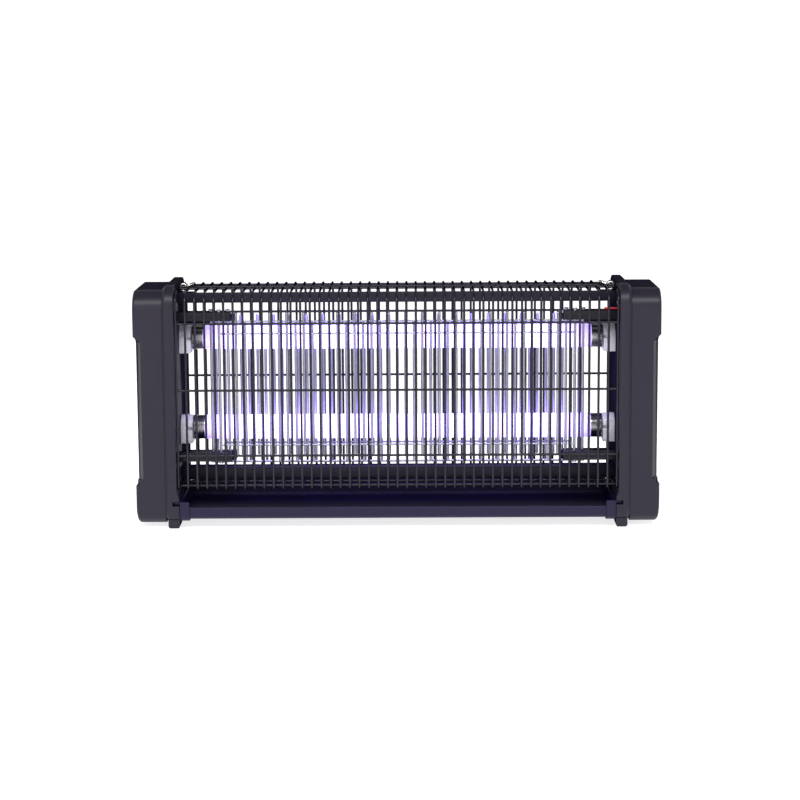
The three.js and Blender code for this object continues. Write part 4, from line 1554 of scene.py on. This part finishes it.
@dataclass
class CatchTray:
    """The sliding trough and the two end pieces whose tongues run in the frames."""

    wall_mm: float = 1.6
    corner_mm: float = 6.0
    lip_mm: float = 1.5
    front_mm: float = 13.0
    spans: int = 8
    body: str = "tray"

    def section(self) -> list[tuple[float, float]]:
        """The trough's closed wall section in (Y, Z), with a rolled front lip."""
        low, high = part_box("collection_tray")
        front, rear = low.y / MM, high.y / MM
        base, rear_top = low.z / MM, high.z / MM
        front_top = base + self.front_mm
        corner, wall, lip = self.corner_mm, self.wall_mm, self.lip_mm
        outer = (
            arc((front + lip, front_top - lip), lip, 90, 180, 5)
            + arc((front + corner, base + corner), corner, 180, 270, self.spans)
            + arc((rear - corner, base + corner), corner, 270, 360, self.spans)
            + arc((rear - wall / 2, rear_top - wall / 2), wall / 2, 0, 180, 6)
        )
        inner = (
            arc((rear - corner, base + corner), corner - wall, 360, 270, self.spans)
            + arc((front + corner, base + corner), corner - wall, 270, 180, self.spans)
            + [(front + wall, front_top - 2.4 * lip)]
            + arc((front + 1.6 * lip, front_top - lip), lip, -60, 90, 6)
        )
        return outer + inner

    def build(self) -> None:
        """Builds the trough and its ends."""
        low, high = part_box("collection_tray")
        section = self.section()
        rings = [[(x / MM, y, z) for y, z in section] for x in (low.x, high.x)]
        name = "catch_trough"
        thing = link(name, soften(to_mesh(name, loft(rings))))
        settle(thing, self.body, ["collection_tray"], TRAY_ABS)
        for side in Side:
            refined(f"{side.word}_tray_end", self.body, TRAY_ABS, 0.7, 3)


@dataclass
class HangingHardware:
    """A bent-wire eye in the top rail and the ring that hangs in it."""

    side: Side
    ring_radius_mm: float = 6.5
    ring_wire_mm: float = 1.0
    eye_radius_mm: float = 3.6
    eye_wire_mm: float = 1.2
    eye_end_deg: float = 255.0
    eye_steps: int = 40
    ring_steps: int = 56
    foot_ease_mm: float = 0.4
    collar_mm: float = 0.2
    collar_radius_mm: float = 2.4

    def __post_init__(self) -> None:
        """Reads the eye's centre and the ring's lean from the model."""
        low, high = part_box(f"{self.side.word}_hanging_eye")
        self.x_mm, self.y_mm, _ = middle_mm(f"{self.side.word}_hanging_eye")
        self.z_mm = high.z / MM - self.eye_radius_mm - self.eye_wire_mm
        self.foot_mm = low.z / MM
        low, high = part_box(f"{self.side.word}_hanging_ring")
        rise = (high.z - low.z) / MM - 2 * self.ring_wire_mm
        self.lean = math.asin(min(1.0, rise / (2 * self.ring_radius_mm)))

    def eye(self) -> None:
        """Builds the eye: a shank that runs up and round into a closed loop."""
        centre = (self.x_mm, self.z_mm)
        loop = arc(centre, self.eye_radius_mm, -90, self.eye_end_deg, self.eye_steps)
        path = [(self.x_mm, self.y_mm, self.foot_mm + self.foot_ease_mm)]
        path += [(x, self.y_mm, z) for x, z in loop]
        collar_z = self.z_mm - self.eye_radius_mm - self.eye_wire_mm - self.collar_mm
        ends = (collar_z + self.collar_mm / 2, collar_z - self.collar_mm / 2)
        line = [(self.x_mm, self.y_mm, z) for z in ends]
        collar = WireRow(line, self.collar_radius_mm, sides=24)
        rows = [WireRow(path, self.eye_wire_mm, sides=16), collar]
        thing = wires(f"{self.side.word}_eye", rows, BRIGHT_NICKEL)
        settle(thing, "root", [f"{self.side.word}_hanging_eye"])

    def ring(self) -> None:
        """Builds the ring, leaning inboard from the eye as it rests."""
        lean = self.lean
        inboard = -self.side.value
        path = []
        for i in range(self.ring_steps):
            turn = math.tau * i / self.ring_steps
            along = self.ring_radius_mm * (1 + math.cos(turn))
            path.append((
                self.x_mm + inboard * along * math.cos(lean),
                self.y_mm + self.ring_radius_mm * math.sin(turn),
                self.z_mm + along * math.sin(lean),
            ))
        rows = [WireRow(path, self.ring_wire_mm, sides=14, loop=True)]
        thing = wires(f"{self.side.word}_ring", rows, BRIGHT_NICKEL)
        settle(thing, f"{self.side.word}_ring", [f"{self.side.word}_hanging_ring"])

    def build(self) -> None:
        """Builds both pieces."""
        self.eye()
        self.ring()


@dataclass
class Screws:
    """Pan-head screws with a cross recess, repeated over their places by geometry nodes."""

    head_radius_mm: float = 3.0
    head_mm: float = 1.8
    shank_radius_mm: float = 1.5
    length_mm: float = 14.0
    recess_mm: tuple[float, float] = (3.2, 0.8)
    recess_share: float = 0.35
    dome: tuple[tuple[float, float], ...] = ((1.0, 0.55), (0.82, 0.82), (0.5, 0.97))
    rim_mm: float = 0.15
    point_mm: float = 1.5
    point_radius_mm: float = 0.3
    turns: int = 28

    def pattern(self) -> bpy.types.Object:
        """One screw along +X with its head's seat at the origin.

        Each pair in dome is a share of the head's height and a share of its radius.
        """
        high, wide, rim = self.head_mm, self.head_radius_mm, self.rim_mm
        outline = [
            (-high, self.point_radius_mm),
            *((-high * up, wide * out) for up, out in self.dome),
            (-rim, wide),
            (0.0, wide - rim),
            (0.0, self.shank_radius_mm),
            (self.length_mm - self.point_mm, self.shank_radius_mm),
            (self.length_mm, self.point_radius_mm),
        ]
        screw = lathe_x(outline, 0.0, 0.0, self.turns)
        thing = link("screw_pattern", to_mesh("screw_pattern", screw))
        long, short = (size / 2 for size in self.recess_mm)
        deep = -high * self.recess_share
        carve(thing, [
            slab((-high - 1, -y, -z), (deep, y, z)) for y, z in ((long, short), (short, long))
        ])
        soften(thing.data)
        return thing

    @staticmethod
    def tree() -> bpy.types.NodeTree:
        """Makes the tree that puts the pattern on every point of a set."""
        known = bpy.data.node_groups.get("screw_set")
        if known:
            return known
        tree = bpy.data.node_groups.new("screw_set", "GeometryNodeTree")
        for name, kind in {
            "Places": "NodeSocketGeometry",
            "Screw": "NodeSocketObject",
            "Turn": "NodeSocketVector",
            "Surface": "NodeSocketMaterial",
        }.items():
            tree.interface.new_socket(name, in_out="INPUT", socket_type=kind)
        tree.interface.new_socket("Screws", in_out="OUTPUT", socket_type="NodeSocketGeometry")
        given = add_node(tree, "NodeGroupInput")
        pattern = add_node(
            tree, "GeometryNodeObjectInfo", links={"Object": given.outputs["Screw"]}
        )
        placed = add_node(
            tree,
            "GeometryNodeInstanceOnPoints",
            links={
                "Points": given.outputs["Places"],
                "Instance": pattern.outputs["Geometry"],
                "Rotation": given.outputs["Turn"],
            },
        )
        real = add_node(
            tree, "GeometryNodeRealizeInstances", links={"Geometry": placed.outputs["Instances"]}
        )
        dressed = add_node(
            tree,
            "GeometryNodeSetMaterial",
            links={"Geometry": real.outputs["Geometry"], "Material": given.outputs["Surface"]},
        )
        add_node(tree, "NodeGroupOutput", links={"Screws": dressed.outputs["Geometry"]})
        return tree

    def group(self, side: Side, use: str, heading: int, pattern: bpy.types.Object) -> None:
        """Builds one pair of like screws.

        Args:
            side: the end they are in.
            use: cap or rail.
            heading: the sign of X that their shanks point to.
            pattern: the screw to repeat.
        """
        nodes = [f"{level.word}_{side.word}_{use}_screw" for level in Level]
        places = []
        for node in nodes:
            low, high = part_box(node)
            head_end = low.x if heading > 0 else high.x
            places.append((
                head_end + heading * self.head_mm * MM,
                (low.y + high.y) / 2,
                (low.z + high.z) / 2,
            ))
        points = bpy.data.meshes.new("places")
        points.from_pydata(places, [], [])
        thing = link(f"{side.word}_{use}_screw_pair", points)
        inputs = {
            "Screw": pattern,
            "Turn": (0.0, 0.0, 0.0 if heading > 0 else math.pi),
            "Surface": ZINC_PLATE.build(),
        }
        grown(thing, self.tree(), inputs)
        settle(thing, "root", nodes)

    def build(self) -> None:
        """Builds the four pairs."""
        pattern = self.pattern()
        for side in Side:
            self.group(side, "cap", side.value, pattern)
            self.group(side, "rail", -side.value, pattern)
        spent = pattern.data
        bpy.data.objects.remove(pattern)
        bpy.data.meshes.remove(spent)


@dataclass
class Rails:
    """The folded bars at the top and the bottom that tie the ends together."""

    edge_mm: float = 0.5

    def build(self) -> None:
        """Builds both rails from their nodes."""
        for node in ("top_rail", "bottom_rail"):
            refined(node, "root", GREY_ENAMEL, self.edge_mm)


@dataclass
class Electrics:
    """What the end covers hold or carry: gear, transformer, terminals, switch, gland and lead."""

    gland_spans: int = 40
    gland_bore_mm: float = 3.3
    gland_bore_ease_mm: float = 0.7
    gland_sleeve_mm: float = 5.0
    gland_flange_mm: float = 2.4
    gland_dome_mm: tuple[tuple[float, float], ...] = ((1.2, 0.0), (0.5, 0.7), (0.0, 2.0))
    lead_radius_mm: float = 1.3

    def gland(self) -> None:
        """Builds the cord gland: a domed flange on a sleeve with a rounded bore."""
        low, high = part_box("cord_gland")
        x, _, z = middle_mm("cord_gland")
        inner, outer = low.y / MM, high.y / MM
        flange = (high.x - low.x) / 2 / MM
        bore, ease, sleeve = self.gland_bore_mm, self.gland_bore_ease_mm, self.gland_sleeve_mm
        seat = outer - self.gland_flange_mm
        wall = [
            (inner, bore),
            (inner, sleeve),
            (seat, sleeve),
            (seat, flange),
            *((outer - back, flange - drop) for back, drop in self.gland_dome_mm),
            (outer, bore + ease),
            (outer - ease, bore),
        ]
        turned = lathe_x(wall, 0.0, 0.0, self.gland_spans, hollow=True)
        bmesh.ops.transform(
            turned,
            matrix=Matrix.Translation((x * MM, 0, z * MM)) @ Matrix.Rotation(math.pi / 2, 4, "Z"),
            verts=turned.verts,
        )
        thing = link("gland_sleeve", soften(to_mesh("gland_sleeve", turned)))
        settle(thing, "root", ["cord_gland"], BLACK_NYLON)

    def lead(self) -> None:
        """Builds the sleeved high-voltage lead over the upper right arm."""
        low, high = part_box("live_lead")
        _, y, z = middle_mm("live_lead")
        row = WireRow([(low.x / MM, y, z), (high.x / MM, y, z)], self.lead_radius_mm, sides=20)
        thing = wires("sleeved_lead", [row], RED_PVC)
        settle(thing, "root", ["live_lead"])

    def build(self) -> None:
        """Builds every electrical piece."""
        refined("ballast", "root", WHITE_ENAMEL, 1.0, 3)
        refined("grid_transformer", "root", VARNISHED_CORE, 0.5)
        refined("terminal_block", "root", WHITE_POLYCARBONATE, 0.5)
        refined("switch_housing", "root", BLACK_NYLON, 0.4)
        refined("switch_rocker", "rocker", BLACK_NYLON, 0.5, 3)
        self.gland()
        self.lead()


# ------------------------------------------------------------------ studio


@dataclass
class Studio:
    """The pale floor, the soft lights and the camera."""

    lens_mm: float = 97.74
    sensor_mm: float = 36.0
    camera_mm: Point = (16.4, -2297.54, 486.5)
    pitch_deg: float = 8.897
    yaw_deg: float = 0.343
    roll_deg: float = 0.33
    floor_m: float = 60.0
    sky: str = "#FFFFFF"
    horizon_strength: float = 1.15
    zenith_strength: float = 0.22
    horizon_band: tuple[float, float] = (0.12, 0.55)
    floor_glow: float = 0.75

    def floor(self) -> None:
        """Lays a wide seamless floor under the feet."""
        paper = bmesh.new()
        half = self.floor_m / 2
        corners = [(-half, -half, 0), (half, -half, 0), (half, half, 0), (-half, half, 0)]
        paper.faces.new([paper.verts.new(Vector(corner)) for corner in corners])
        mesh = bpy.data.meshes.new("studio_floor")
        paper.to_mesh(mesh)
        paper.free()
        ground = link("studio_floor", mesh)
        mesh.materials.append(STUDIO_PAPER.build())
        shader = next(
            node for node in mesh.materials[0].node_tree.nodes if node.type == "BSDF_PRINCIPLED"
        )
        shader.inputs["Emission Color"].default_value = linear(self.sky)
        shader.inputs["Emission Strength"].default_value = self.floor_glow

    def world(self) -> None:
        """Surrounds the set with a pale cyclorama that darkens overhead."""
        world = bpy.data.worlds.new("studio_air")
        world.use_nodes = True
        tree = world.node_tree
        tree.nodes.clear()
        way = add_node(tree, "ShaderNodeTexCoord")
        split = add_node(
            tree, "ShaderNodeSeparateXYZ", links={"Vector": way.outputs["Generated"]}
        )
        level = add_node(
            tree,
            "ShaderNodeMapRange",
            settings={"interpolation_type": "SMOOTHSTEP"},
            values={
                "From Min": self.horizon_band[0],
                "From Max": self.horizon_band[1],
                "To Min": self.horizon_strength,
                "To Max": self.zenith_strength,
            },
            links={"Value": split.outputs["Z"]},
        )
        air = add_node(
            tree,
            "ShaderNodeBackground",
            values={"Color": linear(self.sky)},
            links={"Strength": level.outputs["Result"]},
        )
        add_node(
            world.node_tree,
            "ShaderNodeOutputWorld",
            links={"Surface": air.outputs["Background"]},
        )
        bpy.context.scene.world = world

    def panel(self, name: str, place: Point, aim: Point, size: tuple[float, float], power: float) -> None:
        """Hangs one soft box.

        Args:
            name: the light's name.
            place: its centre, in metres.
            aim: the point it faces, in metres.
            size: its width and height, in metres.
            power: its power in watts.
        """
        light = bpy.data.lights.new(name, "AREA")
        light.shape = "RECTANGLE"
        light.size, light.size_y = size
        light.energy = power
        thing = bpy.data.objects.new(name, light)
        bpy.context.scene.collection.objects.link(thing)
        thing.location = place
        facing = Vector(aim) - Vector(place)
        thing.rotation_euler = facing.to_track_quat("-Z", "Y").to_euler()

    def camera(self) -> None:
        """Sets the camera a little above the object, looking slightly down at its front."""
        lens = bpy.data.cameras.new("camera")
        lens.lens = self.lens_mm
        lens.sensor_width = self.sensor_mm
        eye = bpy.data.objects.new("camera", lens)
        bpy.context.scene.collection.objects.link(eye)
        pitch, yaw = math.radians(self.pitch_deg), math.radians(self.yaw_deg)
        forward = Vector((
            -math.sin(yaw) * math.cos(pitch),
            math.cos(yaw) * math.cos(pitch),
            -math.sin(pitch),
        ))
        right = forward.cross(Vector((0, 0, 1))).normalized()
        down = forward.cross(right)
        roll = math.radians(self.roll_deg)
        turned_right = math.cos(roll) * right + math.sin(roll) * down
        turned_down = -math.sin(roll) * right + math.cos(roll) * down
        turn = Matrix((turned_right, -turned_down, -forward)).transposed()
        eye.matrix_world = Matrix.Translation(Vector(self.camera_mm) * MM) @ turn.to_4x4()
        bpy.context.scene.camera = eye

    def build(self) -> None:
        """Sets up the whole studio."""
        self.floor()
        self.world()
        self.panel("top_softbox", (0.0, -1.7, 1.9), (0.0, 0.0, 0.15), (2.6, 0.4), 60.0)
        self.panel("front_softbox", (-0.8, -2.6, 1.1), (0.0, 0.0, 0.12), (1.6, 1.2), 6.0)
        self.camera()
        bpy.context.scene.view_settings.view_transform = "Standard"


def main() -> None:
    """Builds every piece in order."""
    logging.basicConfig(level=logging.INFO, format="%(name)s %(message)s")
    builders: list[tuple[str, Callable[[], None]]] = [
        ("studio", Studio().build),
        *((f"{side.word} housing", EndHousing(side).build) for side in Side),
        ("front guard", Guard(Face.FRONT).build),
        (
            "rear guard",
            Guard(Face.REAR, top_wires_mm=(28.0, 50.0), base_wires_mm=(28.0, 50.0)).build,
        ),
        *(
            (f"{face.word} grid", KillingGrid(face, live).build)
            for face in Face
            for live in (True, False)
        ),
        ("grid arms", GridArms().build),
        *((f"{level.word} lamp", Lamp(level).build) for level in Level),
        ("tray", CatchTray().build),
        ("rails", Rails().build),
        *((f"{side.word} hanging", HangingHardware(side).build) for side in Side),
        ("screws", Screws().build),
        ("electrics", Electrics().build),
    ]
    for name, build in builders:
        log.info("building %s", name)
        build()


if __name__ == "__main__":
    main()
